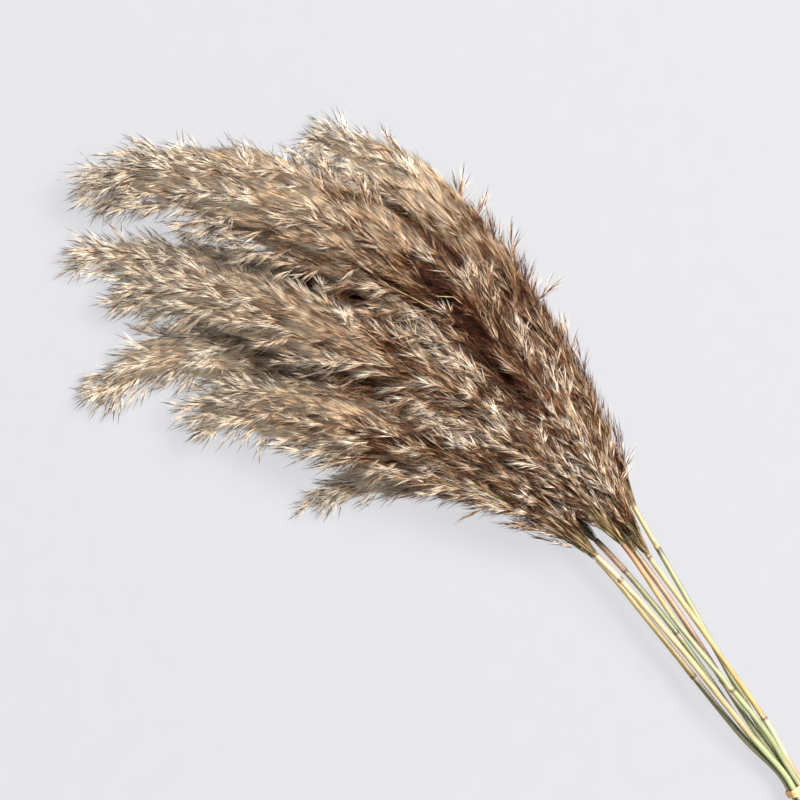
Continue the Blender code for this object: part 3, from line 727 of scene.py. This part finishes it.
def spikes(paths, half_width, half_thickness, tones, draw):
    """Many closed straight spikes at once: three corners round each root, at thirds of a turn, and one at the tip.
    The map is the strands' own, with one root corner a little way along it so that the root's face has width."""
    count = len(paths)
    root, tip = paths[:, 0], paths[:, 1]
    ahead = unit(tip - root)
    across = unit(np.cross(ahead, any_way(draw, count)))
    over = np.cross(ahead, across)
    angle = (np.arange(3) * math.tau / 3)[None, :, None]
    corners = root[:, None] + across[:, None] * np.cos(angle) * half_width
    corners = corners + over[:, None] * np.sin(angle) * half_thickness
    points = np.concatenate([corners, tip[:, None]], axis=1)
    template = np.array([(0, 1, 3), (1, 2, 3), (2, 0, 3), (2, 1, 0)])
    places = np.array([(-1, 0), (0, HAIR_CAP), (1, 0), (0, 1)], float)[template]
    faces = template[None] + (np.arange(count) * 4)[:, None, None]
    maps = np.broadcast_to(places, (count, *places.shape)).copy()
    maps[..., 0] = tones[:, None, None] + places[..., 0] * MAP_HALF_BAND
    return points.reshape(-1, 3), faces.reshape(-1, 3), maps.reshape(-1, 3, 2)


def loft(centres, ahead, radii, along, sides, squash=1.0, roll=0.0):
    """A skin of rings round a line: the ring at each centre is a circle of its radius, or of a radius for each
    side, squashed over the line and rolled about it. A ring of no radius closes it. The map's first number runs
    once round from the underside, and its second is the ring's place along."""
    centres, along = np.asarray(centres, float), np.asarray(along, float)
    count = len(centres)
    across = unit(np.cross(UP, ahead))
    over = np.cross(ahead, across)
    angle = np.arange(sides) * math.tau / sides - math.pi / 2
    radii = np.broadcast_to(np.asarray(radii, float).reshape(count, -1), (count, sides))
    x, y = np.cos(angle) * radii, np.sin(angle) * radii * squash
    roll = np.broadcast_to(roll, (count,))[:, None]
    x, y = x * np.cos(roll) - y * np.sin(roll), x * np.sin(roll) + y * np.cos(roll)
    points = centres[:, None] + across[:, None] * x[..., None] + over[:, None] * y[..., None]
    station, side = (grid.ravel() for grid in np.meshgrid(np.arange(count - 1), np.arange(sides), indexing="ij"))
    other = (side + 1) % sides
    a, b = station * sides + side, station * sides + other
    c, d = b + sides, a + sides
    left, right = side / sides, (side + 1) / sides
    low, high = along[station], along[station + 1]
    map_a, map_b = np.stack([left, low], 1), np.stack([right, low], 1)
    map_c, map_d = np.stack([right, high], 1), np.stack([left, high], 1)
    faces = np.concatenate([np.stack([a, b, c], 1), np.stack([a, c, d], 1)])
    maps = np.concatenate([np.stack([map_a, map_b, map_c], 1), np.stack([map_a, map_c, map_d], 1)])
    return without_slivers(points.reshape(-1, 3), faces, maps)


def without_slivers(points, faces, maps):
    """The faces whose three corners are apart, with corners that share a place made one."""
    _, first, index = np.unique(np.round(points, 8), axis=0, return_index=True, return_inverse=True)
    faces = index.reshape(-1)[faces]
    whole = (faces[:, 0] != faces[:, 1]) & (faces[:, 1] != faces[:, 2]) & (faces[:, 2] != faces[:, 0])
    return points[first], faces[whole], maps[whole]


def cord(path, radius, sides, squash=1.0, roll=0.0):
    """A closed strand of one radius along a path, drawn in to a point at both ends."""
    run = lengths_along(path)
    ahead = unit(np.gradient(path, axis=0))
    radii = np.full(len(path), radius)
    radii[[0, -1]] = 0.0
    return loft(path, ahead, radii, run / run[-1], sides, squash, roll)


def joined(parts):
    """Several surfaces' points, faces and maps as one."""
    points, faces, maps = zip(*parts)
    starts = np.cumsum([0] + [len(group) for group in points[:-1]])
    faces = [group + start for group, start in zip(faces, starts)]
    return np.concatenate(points), np.concatenate(faces), np.concatenate(maps)


def make_piece(name, surface, finish, map_name, slot, *nodes):
    """A smooth mesh piece at the origin, from points, triangles and their places on the map. It rides on the
    body and stands for the CAD nodes."""
    points, faces, maps = surface
    mesh = bpy.data.meshes.new(name)
    mesh.vertices.add(len(points))
    mesh.vertices.foreach_set("co", points.astype(np.float32).ravel())
    mesh.loops.add(faces.size)
    mesh.loops.foreach_set("vertex_index", faces.astype(np.int32).ravel())
    mesh.polygons.add(len(faces))
    mesh.polygons.foreach_set("loop_start", np.arange(0, faces.size, 3, dtype=np.int32))
    mesh.update(calc_edges=True)
    mesh.shade_smooth()
    layer = mesh.uv_layers.new(name=map_name)
    layer.data.foreach_set("uv", maps.astype(np.float32).ravel())
    mesh.materials.append(finish)
    made = bpy.data.objects.new(name, mesh)
    bpy.context.scene.collection.objects.link(made)
    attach(made, "root")
    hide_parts(*nodes)


def linear(colour):
    """An sRGB hex colour as linear red, green and blue with an alpha of 1."""
    shares = [int(colour[at:at + 2], 16) / 255 for at in (1, 3, 5)]
    return (*(share / 12.92 if share <= 0.04045 else ((share + 0.055) / 1.055) ** 2.4 for share in shares), 1.0)


def add(tree, kind, settings=None, links=None, stops=()):
    """Adds a node, sets its properties and sockets by name, links sockets from (node, output) pairs, and lays a
    ramp's stops."""
    made = tree.nodes.new(kind)
    for name, value in (settings or {}).items():
        if isinstance(name, str) and hasattr(made, name):
            setattr(made, name, value)
        else:
            made.inputs[name].default_value = value
    for name, (source, output) in (links or {}).items():
        tree.links.new(source.outputs[output], made.inputs[name])
    for index, (place, colour) in enumerate(stops):
        elements = made.color_ramp.elements
        element = elements[index] if index < 2 else elements.new(place)
        element.position = place
        element.color = linear(colour)
    return made


def new_finish(name, sockets):
    """A material whose Principled shader has these even settings, a colour as sRGB hex. Returns it, its tree and
    the shader."""
    made = bpy.data.materials.new(name)
    made.use_nodes = True
    shader = made.node_tree.nodes["Principled BSDF"]
    for socket, value in sockets.items():
        shader.inputs[socket].default_value = linear(value) if isinstance(value, str) else value
    return made, made.node_tree, shader


def strand_finish(name, tones, shades, sockets):
    """A dry strand's colour: its tone by the map's first number, times a shade from root to tip by the second."""
    finish, tree, shader = new_finish(name, sockets)
    place = add(tree, "ShaderNodeUVMap", {"uv_map": BAKE_MAP})
    parts = add(tree, "ShaderNodeSeparateXYZ", links={"Vector": (place, "UV")})
    tone = add(tree, "ShaderNodeValToRGB", links={"Fac": (parts, "X")}, stops=tones)
    shade = add(tree, "ShaderNodeValToRGB", links={"Fac": (parts, "Y")}, stops=shades)
    mixed = add(tree, "ShaderNodeMix", {"data_type": "RGBA", "blend_type": "MULTIPLY", 0: 1.0},
                {6: (tone, "Color"), 7: (shade, "Color")})
    tree.links.new(mixed.outputs[2], shader.inputs["Base Color"])
    return finish


def cells(tree, place, counts, settings):
    """A pattern of soft cells on the map, so many round the piece and so many along it."""
    run = add(tree, "ShaderNodeMapping", {"Scale": (*counts, 1.0)}, {"Vector": (place, "UV")})
    return add(tree, "ShaderNodeTexNoise", {"Scale": 1.0, **settings}, {"Vector": (run, "Vector")})


def shaded(tree, colour, layers):
    """A (node, output) colour times a ramp for each layer, which is a pattern and the stops that it reads."""
    for pattern, stops in layers:
        shade = add(tree, "ShaderNodeValToRGB", links={"Fac": (pattern, "Fac")}, stops=stops)
        mixed = add(tree, "ShaderNodeMix", {"data_type": "RGBA", "blend_type": "MULTIPLY", 0: 1.0},
                    {6: colour, 7: (shade, "Color")})
        colour = (mixed, 2)
    return colour


def set_skin(tree, shader, colour, pattern, bump):
    """The shader's colour, and a bump that follows the pattern."""
    node, output = colour
    tree.links.new(node.outputs[output], shader.inputs["Base Color"])
    made = add(tree, "ShaderNodeBump", bump, {"Height": (pattern, "Fac")})
    tree.links.new(made.outputs["Normal"], shader.inputs["Normal"])


def core_finish():
    """Packed down: dull and soft, coloured with painted shade, dark towards the plume's base and cream towards the
    tip, in fine broken streaks along the plume with dark gaps of painted shade between them."""
    finish, tree, shader = new_finish("packed_down_painted_shade", CORE_SOCKETS)
    place = add(tree, "ShaderNodeUVMap", {"uv_map": STEM_MAP})
    parts = add(tree, "ShaderNodeSeparateXYZ", links={"Vector": (place, "UV")})
    tone = add(tree, "ShaderNodeValToRGB", links={"Fac": (parts, "Y")}, stops=CORE_PAINTED_SHADE_TONES)
    fine = cells(tree, place, CORE_STREAK_CELLS, {"Detail": 3.0, "Roughness": 0.65, "Distortion": 0.4})
    tufts = cells(tree, place, CORE_TUFT_CELLS, {"Detail": 2.0})
    colour = shaded(tree, (tone, "Color"), ((fine, CORE_STREAKS_SHADED_GAPS), (tufts, CORE_TUFTS)))
    set_skin(tree, shader, colour, fine, CORE_BUMP)
    return finish


def culm_finish(reed, colours):
    """Dried reed stem: a hard, smooth, waxy skin over straw. Its colour changes at each node and sheath, with
    streaks drawn out along the stem, fine fibre ridges, and specks of weathering."""
    finish, tree, shader = new_finish(f"dried_reed_stem_{reed.number}", CULM_SOCKETS)
    length = reed.culm_run[-1]
    place = add(tree, "ShaderNodeUVMap", {"uv_map": STEM_MAP})
    parts = add(tree, "ShaderNodeSeparateXYZ", links={"Vector": (place, "UV")})
    wander, streaks, specks, fibres = (
        cells(tree, place, (count, length / size), settings) for (count, size), settings in (
            (ZONE_CELLS, {"Detail": 2.0}), (STREAK_CELLS, {"Detail": 4.0, "Roughness": 0.6}),
            (SPECK_CELLS, {"Detail": 3.0}), (FIBRE_CELLS, {"Detail": 2.0})))
    edge = add(tree, "ShaderNodeMath", {"operation": "MULTIPLY_ADD", 1: ZONE_WANDER / length},
               {0: (wander, "Fac"), 2: (parts, "Y")})
    stops = [(0.0, CUT_COLOUR)]
    stops += [(max((mm * MM + reed.tie_run) / length, CUT_SHARE), colour) for mm, colour in colours]
    zones = add(tree, "ShaderNodeValToRGB", links={"Fac": (edge, "Value")}, stops=stops)
    colour = shaded(tree, (zones, "Color"), ((streaks, STREAK_SHADES), (specks, SPECK_SHADES)))
    set_skin(tree, shader, colour, fibres, CULM_BUMP)
    gloss = add(tree, "ShaderNodeMapRange", CULM_ROUGHNESS, {"Value": (streaks, "Fac")})
    tree.links.new(gloss.outputs["Result"], shader.inputs["Roughness"])
    return finish


def raffia_finish():
    """Raffia: strips of dried palm leaf, flat, papery and faintly glossy, with fibres along them."""
    finish, tree, shader = new_finish("dried_raffia_leaf", RAFFIA_SOCKETS)
    place = add(tree, "ShaderNodeUVMap", {"uv_map": STEM_MAP})
    fibres = cells(tree, place, RAFFIA_CELLS, {"Detail": 4.0})
    colour = add(tree, "ShaderNodeValToRGB", links={"Fac": (fibres, "Fac")}, stops=RAFFIA_TONES)
    set_skin(tree, shader, (colour, "Color"), fibres, RAFFIA_BUMP)
    return finish


def floor_finish():
    """Matt painted board: near white, with a faint unevenness."""
    finish, tree, shader = new_finish("matt_light_table", FLOOR_SOCKETS)
    place = add(tree, "ShaderNodeTexCoord")
    grain = add(tree, "ShaderNodeTexNoise", {"Scale": FLOOR_MOTTLE, "Detail": 5.0}, {"Vector": (place, "Object")})
    colour = add(tree, "ShaderNodeValToRGB", links={"Fac": (grain, "Fac")}, stops=FLOOR_TONES)
    tree.links.new(colour.outputs["Color"], shader.inputs["Base Color"])
    return finish


def drift(points, draw, size):
    """A smooth random value from about -1 to 1 at each point: half the sum of four waves of about this length."""
    value = np.zeros(len(points))
    for way in any_way(draw, 4):
        length = size * draw.uniform(*WAVE_RANGE)
        value += np.sin(points @ way * math.tau / length + draw.uniform(0, math.tau))
    return value / 2


def depth_under(points, reeds):
    """How far each point lies under the heap of plumes. A plume's skin over a point stands above its rachis by
    the square root of radius squared less distance squared."""
    top = np.zeros(len(points))
    for reed in reeds:
        axis = reed.line[reed.base::3]
        radius = reed.outline(np.linspace(0, 1, len(axis)))
        room = radius ** 2 - ((points[:, None, :2] - axis[None, :, :2]) ** 2).sum(axis=2)
        skin = np.where(room > 0, axis[:, 2] + np.sqrt(np.maximum(room, 0)), 0).max(axis=1)
        top = np.maximum(top, skin)
    return np.maximum(top - points[:, 2], 0)


def plume_tones(reed, reeds, root, share, along, draw):
    """How pale each spikelet is, from 0 to 1: its plume's paleness, more towards the tip and the outside of the
    plume and towards its branch's end, less deep under the other plumes and at the parting, and in soft patches.
    Paler at the tip is partly the plume's own colour and partly painted light; darker at the base, inside the
    plume, deep under the other plumes and at the parting is painted shade."""
    nearest = np.linalg.norm(root[:, None] - reed.line[None, reed.base::3], axis=2).min(axis=1)
    out = np.clip(nearest / reed.outline(np.minimum(share, 1.0)), 0, 1)
    patch = sum(size * drift(root, draw, length) for size, length in PATCHES)
    deep = np.minimum(depth_under(root, reeds) / DEPTH_FULL, 1)
    pale = PALENESS[reed.number - 1] + np.interp(share, *PALER_AHEAD) + PAINTED_SHADE_INSIDE * (out - MEAN_PLACE)
    # The strands near the parting are darkened with painted shade.
    pale = pale - PARTING_PAINTED_SHADE * parting(root)[0]
    pale = pale + ALONG_PALER * (along - MEAN_PLACE)
    return pale - DEPTH_PAINTED_SHADE * (deep * (DEPTH_FADES - share) - MEAN_DEPTH) + patch


def in_map(tones):
    """Tones kept so far inside the map that a strand's band doesn't leave it."""
    return np.clip(tones, MAP_HALF_BAND, 1 - MAP_HALF_BAND)


def toned(values, tone, draw):
    """Each strand's tone: a start, plus the rise times its value, plus a normal draw."""
    start, rise, varies = tone
    return in_map(start + rise * values + draw.normal(0, varies, len(values)))


def make_plume(reed, reeds, finishes):
    """One plume in five pieces: its branches with the rachis and the bristles, its spikelets' lemmas and hairs,
    the matted down, and the core that the down grows on."""
    draw = np.random.default_rng((SEED, reed.number))
    starts, lengths, branches = grow_branches(reed, draw)
    branchlets, shares, places = grow_branchlets(branches, lengths, starts, reed.radius, draw)
    owner, root, ahead = grow_spikelets(branchlets, shares, draw)
    share = shares[owner]
    pale = plume_tones(reed, reeds, root, share, places[owner], draw)
    pale += draw.normal(0, TUFT_VARIES, len(branchlets))[owner] + draw.normal(0, SPIKELET_VARIES, len(root))

    def make(kind, surface, map_name=BAKE_MAP):
        make_piece(f"plume_{reed.number}_{kind}", surface, finishes[kind], map_name, "plume",
                   f"reed_{reed.number}_plume")

    line = rows_between(reed.line, reed.base - 1 + RACHIS_STATIONS * (reed.rings + 1))
    radii = np.interp(RACHIS_STATIONS, *RACHIS_RADII)
    rachis = strands(line[None], radii[None, 1:-1], np.array([RACHIS_TONE]), draw)
    size = np.linspace(BRANCH_ROOT_RADIUS, BRANCH_TIP_RADIUS, BRANCH_POINTS)[None, 1:-1]
    green, brown = toned(starts, BRANCH_TONE, draw), toned(shares, BRANCHLET_TONE, draw)
    bristles = grow_bristles(reed, draw)
    mottle = in_map(draw.choice(BRISTLE_TONES, BRISTLES) + draw.normal(0, BRISTLE_VARIES, BRISTLES))
    make("branches", joined([rachis, strands(bristles, BRISTLE_RADIUS, mottle, draw),
                             strands(branches, size, green, draw),
                             strands(branchlets, BRANCHLET_RADIUS, brown, draw)]))

    mine, paths = grow_lemmas(root, ahead, draw)
    tones = toned(pale[mine], LEMMA_TONE, draw)
    make("lemmas", spikes(paths, LEMMA_HALF_WIDTH, LEMMA_HALF_THICKNESS, tones, draw))

    skin = core_skin(reed, draw)
    make("core", skin, STEM_MAP)
    paths, at, tuft = grow_down(reed, skin, draw)
    tones = plume_tones(reed, reeds, paths.mean(axis=1), at, np.full(len(at), MEAN_PLACE), draw)
    tones = tones + draw.normal(0, DOWN_TUFT_VARIES, tuft.max() + 1)[tuft] + draw.normal(0, DOWN_VARIES, len(tuft))
    start, rise = DOWN_TONE
    make("down", spikes(paths, DOWN_RADIUS, DOWN_RADIUS, in_map(start + rise * tones), draw))

    mine, paths = grow_hairs(root, ahead, np.interp(share, *LOOSENESS), draw)
    tones = toned(pale[mine], HAIR_TONE, draw)
    keep = fewest(draw, len(paths), MOST_HAIRS)
    make("hairs", spikes(paths[keep], HAIR_RADIUS, HAIR_RADIUS, tones[keep], draw))


def core_skin(reed, draw):
    """The plume's heart of matted down: a closed skin round the rachis at a share of the plume's outline, flatter
    than it is wide, that closes as the root of 1 - (share / last share) to the sixth, with soft ridges along it:
    the sum of size * sin(turns * angle + a slow wave along). It sinks towards the rachis under the parting."""
    share = np.linspace(*CORE_SPAN, CORE_RINGS)
    angle = np.arange(CORE_SIDES) * math.tau / CORE_SIDES
    ridges = np.ones((CORE_RINGS, CORE_SIDES))
    for turns, size in CORE_RIDGES:
        phase = draw.uniform(0, math.tau, 2)
        wave = turns * angle + phase[0] + RIDGE_WAVE * np.sin(share * RIDGE_WAVES + phase[1])[:, None]
        ridges += size * np.sin(wave)
    closing = np.sqrt(1 - (share / CORE_SPAN[1]) ** CORE_BLUNTNESS)[:, None]
    radii = CORE_SHARE * reed.outline(share)[:, None] * ridges * closing
    radii[[0, -1]] = 0
    ahead = rows_between(reed.tangents, reed.base + share * reed.rings)
    points, faces, maps = loft(reed.point(share), ahead, radii, share, CORE_SIDES, TOP_SHARE)
    nearest = np.linalg.norm(points[:, None] - reed.line[None, reed.base:], axis=2).argmin(axis=1)
    line = reed.point(nearest / reed.rings)
    points = line + (points - line) * (1 - PARTING_SINKS * parting(points)[0])[:, None]
    return raised(points, FLOOR_CLEARANCE), faces, maps


def fewest(draw, count, most):
    """Indexes of all of them, or of as many as are allowed, drawn at random."""
    if count <= most:
        return np.arange(count)
    return np.sort(draw.permutation(count)[:most])


def culm_radii(reed, row, run, angle):
    """The stem's radius at each place along it and angle round it: tapered from foot to plume, with a swelling
    exp(-(d / half length) squared) at each node, a groove just past it, a sheath's step with a slanting edge,
    and a bud as a bump on one side."""
    radius = np.interp(run, (0, reed.culm_run[-1]), (CULM_RADIUS, CULM_RADIUS * CULM_TOP_SHARE))[:, None]
    past_tie = (run - reed.tie_run)[:, None]
    grown = 1 + OVALITY * np.cos(2 * angle + reed.number)
    for node in reed.nodes:
        past = past_tie - node
        grown = grown + NODE_SWELL * np.exp(-(past / NODE_HALF_LENGTH) ** 2)
        grown = grown - GROOVE_DEPTH * np.exp(-((past - GROOVE_PLACE * NODE_HALF_LENGTH) / GROOVE_HALF_LENGTH) ** 2)
    radius = radius * grown
    if row["sheath"]:
        first, last = (edge * MM for edge in row["sheath"])
        slant = SHEATH_SLANT * np.cos(angle - reed.number)
        inside = 1 / (1 + np.exp(-(past_tie - first) / SHEATH_EDGE))
        inside = inside / (1 + np.exp((past_tie - last - slant) / SHEATH_EDGE))
        radius = radius + SHEATH_THICKNESS * inside
    for bud, turn in row["buds"]:
        past = (past_tie - bud * MM - BUD_LENGTH) / BUD_LENGTH
        aside = (angle - turn + math.pi) % math.tau - math.pi
        radius = radius + BUD_HEIGHT * np.exp(-past ** 2 * BUD_SHARPNESS) * np.exp(-(aside / BUD_HALF_ANGLE) ** 2)
    return radius


def make_culm(reed, row, colours):
    """A stem lofted along its line, with a rounded rim and a bore at the cut foot."""
    run = np.arange(0, reed.culm_run[-1], CULM_STEP)
    near = (reed.nodes[:, None] + reed.tie_run + NODE_RINGS).ravel()
    run = np.unique(np.concatenate([run[run > RIM_ROUNDING], near, [RIM_ROUNDING, reed.culm_run[-1]]]))
    angle = np.arange(CULM_SIDES) * math.tau / CULM_SIDES - math.pi / 2
    radii = culm_radii(reed, row, run, angle[None])
    at = np.interp(run, reed.culm_run, np.arange(len(reed.culm_run)))
    start_way = unit(reed.line[1] - reed.line[0])
    foot = reed.line[0]
    inner = ((BORE_DEPTH, 0.0), (BORE_DEPTH, BORE_RADIUS), (RIM_ROUNDING, BORE_RADIUS),
             (0.0, BORE_RADIUS + RIM_ROUNDING), (0.0, CULM_RADIUS - RIM_ROUNDING))
    centres = np.concatenate([[foot + start_way * depth for depth, _ in inner],
                              rows_between(reed.line, at), reed.line[reed.base:reed.base + 1]])
    ahead = np.concatenate([np.tile(start_way, (len(inner), 1)), unit(rows_between(reed.tangents, at)),
                            reed.tangents[reed.base:reed.base + 1]])
    rings = np.concatenate([[[radius] * CULM_SIDES for _, radius in inner], radii, np.zeros((1, CULM_SIDES))])
    along = np.concatenate([np.zeros(len(inner)), run / reed.culm_run[-1], [1.0]])
    surface = loft(centres, ahead, rings, along, CULM_SIDES)
    slot = "culm_green" if reed.number in GREEN_REEDS else "culm_straw"
    make_piece(f"culm_{reed.number}", surface, culm_finish(reed, colours), STEM_MAP, slot,
               f"reed_{reed.number}_culm")


def tie_ring():
    """The line that a strand takes round the outer six culms: an arc on each, and straight between."""
    away = CULM_RADIUS + TOUCH_GAP + RAFFIA_HALF_THICKNESS
    return np.array([tie_slot(slot) + across_tie(turn) * away
                     for slot in range(6) for turn in np.linspace(slot - 0.5, slot + 0.5, 6)])


def plies(path, half_width, half_thickness, flat_way, twist, spread, draw):
    """A strand's plies side by side: each keeps its place on a flat oval round the path, which turns slowly
    along it and opens by the spread."""
    run = lengths_along(path)
    ahead = unit(np.gradient(path, axis=0))
    wide = unit(flat_way - ahead * (ahead * flat_way).sum(1, keepdims=True))
    thin = np.cross(ahead, wide)
    made = []
    for ply in range(RAFFIA_PLIES):
        angle = ply * math.tau / RAFFIA_PLIES + twist * run + draw.uniform(-PLY_TURN, PLY_TURN)
        out = wide * (half_width * np.cos(angle) * spread)[:, None]
        out += thin * (half_thickness * np.sin(angle) * spread)[:, None]
        wobble = np.stack([np.sin(run / PLY_WAVE + phase) for phase in draw.uniform(0, math.tau, 3)], axis=1)
        line = path + out + wobble * PLY_WOBBLE
        line[:, 2] = np.maximum(line[:, 2], PLY_RADIUS)
        made.append(cord(line, PLY_RADIUS * draw.uniform(*PLY_RADIUS_RANGE), PLY_SIDES, PLY_SQUASH,
                         twist * run + ply))
    return made


def make_tie():
    """Three turns of a flat strand of raffia round the culms, a knot at the right side and two frayed tails. The
    knot's line is a trefoil: twice round while it goes in and out, and from side to side, three times."""
    draw = np.random.default_rng((SEED, 100))
    ring = tie_ring()
    ring = np.roll(ring, -int(ring[:, 1].argmin()), axis=0)
    turns = np.concatenate([*[ring] * RAFFIA_TURNS, ring[:1]])
    climb = np.linspace(-0.5, 0.5, len(turns)) * RAFFIA_TURNS * RAFFIA_PITCH
    band = smooth_line(turns + TIE_AHEAD * climb[:, None], RAFFIA_STEP)
    parts = plies(band, RAFFIA_HALF_WIDTH - PLY_RADIUS, RAFFIA_HALF_THICKNESS, TIE_AHEAD, RAFFIA_TWIST, 1.0, draw)

    knot_place = ring[0] - TIE_ASIDE * KNOT_RADIUS * KNOT_OUT
    in_and_out, sideways, size = KNOT_SHAPE
    around = np.linspace(0, math.tau, KNOT_POINTS)
    loop = 1 + in_and_out * np.cos(3 * around)
    knot = np.stack([loop * np.cos(2 * around), sideways * np.sin(3 * around), loop * np.sin(2 * around)], axis=1)
    knot = knot_place + knot * KNOT_RADIUS * size
    parts += plies(knot, KNOT_HALF_WIDTH, KNOT_HALF_THICKNESS, TIE_ASIDE, KNOT_TWIST, 1.0, draw)

    for spread in TAIL_SPREADS:
        back, down = TAIL_BEND
        middle = knot_place - (back * TAIL_REACH, TAIL_MIDDLE_ASIDE * spread, down * knot_place[2])
        end = knot_place - (TAIL_REACH, TAIL_END_ASIDE * spread, 0)
        end[2] = TAIL_END_HEIGHT
        path = smooth_line([knot_place, middle, end], TAIL_STEP)
        share = np.linspace(0, 1, len(path))
        opening = TAIL_NARROW + TAIL_FRAY * np.maximum(share - FRAY_FROM, 0) ** FRAY_POWER
        parts += plies(path, RAFFIA_HALF_WIDTH * TAIL_WIDTH_SHARE, RAFFIA_HALF_THICKNESS, TIE_ASIDE, TAIL_TWIST,
                       opening, draw)
    make_piece("raffia_band", joined(parts), raffia_finish(), STEM_MAP, "raffia", "raffia_tie")


def make_stage():
    """A pale floor, one large soft key light from the bundle's right, an even pale sky, and the camera overhead."""
    link = bpy.context.scene.collection.objects.link
    floor = bpy.data.meshes.new("floor")
    half = FLOOR_SIZE / 2
    floor.from_pydata([(-half, -half, 0), (half, -half, 0), (half, half, 0), (-half, half, 0)], [], [(0, 1, 2, 3)])
    floor.materials.append(floor_finish())
    board = bpy.data.objects.new("floor", floor)
    link(board)
    light = bpy.data.lights.new("key", "AREA")
    light.shape = "DISK"
    light.size = KEY_SIZE
    light.energy = KEY_POWER
    light.color = linear(KEY_COLOUR)[:3]
    lamp = bpy.data.objects.new("key", light)
    lamp.location = KEY_PLACE
    lamp.rotation_euler = Vector(KEY_PLACE).to_track_quat("Z", "Y").to_euler()
    link(lamp)
    world = bpy.data.worlds.new("studio")
    world.use_nodes = True
    sky = world.node_tree.nodes["Background"]
    sky.inputs["Color"].default_value = linear(WORLD_COLOUR)
    sky.inputs["Strength"].default_value = WORLD_STRENGTH
    bpy.context.scene.world = world
    camera = bpy.data.cameras.new("camera")
    camera.lens = CAMERA_LENS
    camera.sensor_width = CAMERA_SENSOR
    view = bpy.data.objects.new("camera", camera)
    view.location = CAMERA_PLACE
    view.rotation_euler = (0, 0, CAMERA_TURN)
    link(view)
    bpy.context.scene.camera = view
    bpy.context.scene.view_settings.view_transform = "Standard"


def main():
    make_stage()
    finishes = {
        "branches": strand_finish("dry_grass_branch", BRANCH_TONES, BRANCH_SHADES, BRANCH_SOCKETS),
        "lemmas": strand_finish("dry_papery_lemma", LEMMA_TONES, LEMMA_SHADES, LEMMA_SOCKETS),
        "hairs": strand_finish("silky_seed_hair", HAIR_TONES, HAIR_ROOT_PAINTED_SHADE, HAIR_SOCKETS),
        "down": strand_finish("matted_down", DOWN_TONES, DOWN_ROOT_PAINTED_SHADE, DOWN_SOCKETS),
        "core": core_finish(),
    }
    reeds = [Reed(number, row) for number, row in enumerate(REEDS, 1)]
    for reed, row, colours in zip(reeds, REEDS, CULM_COLOURS):
        make_plume(reed, reeds, finishes)
        make_culm(reed, row, colours)
    make_tie()


main()
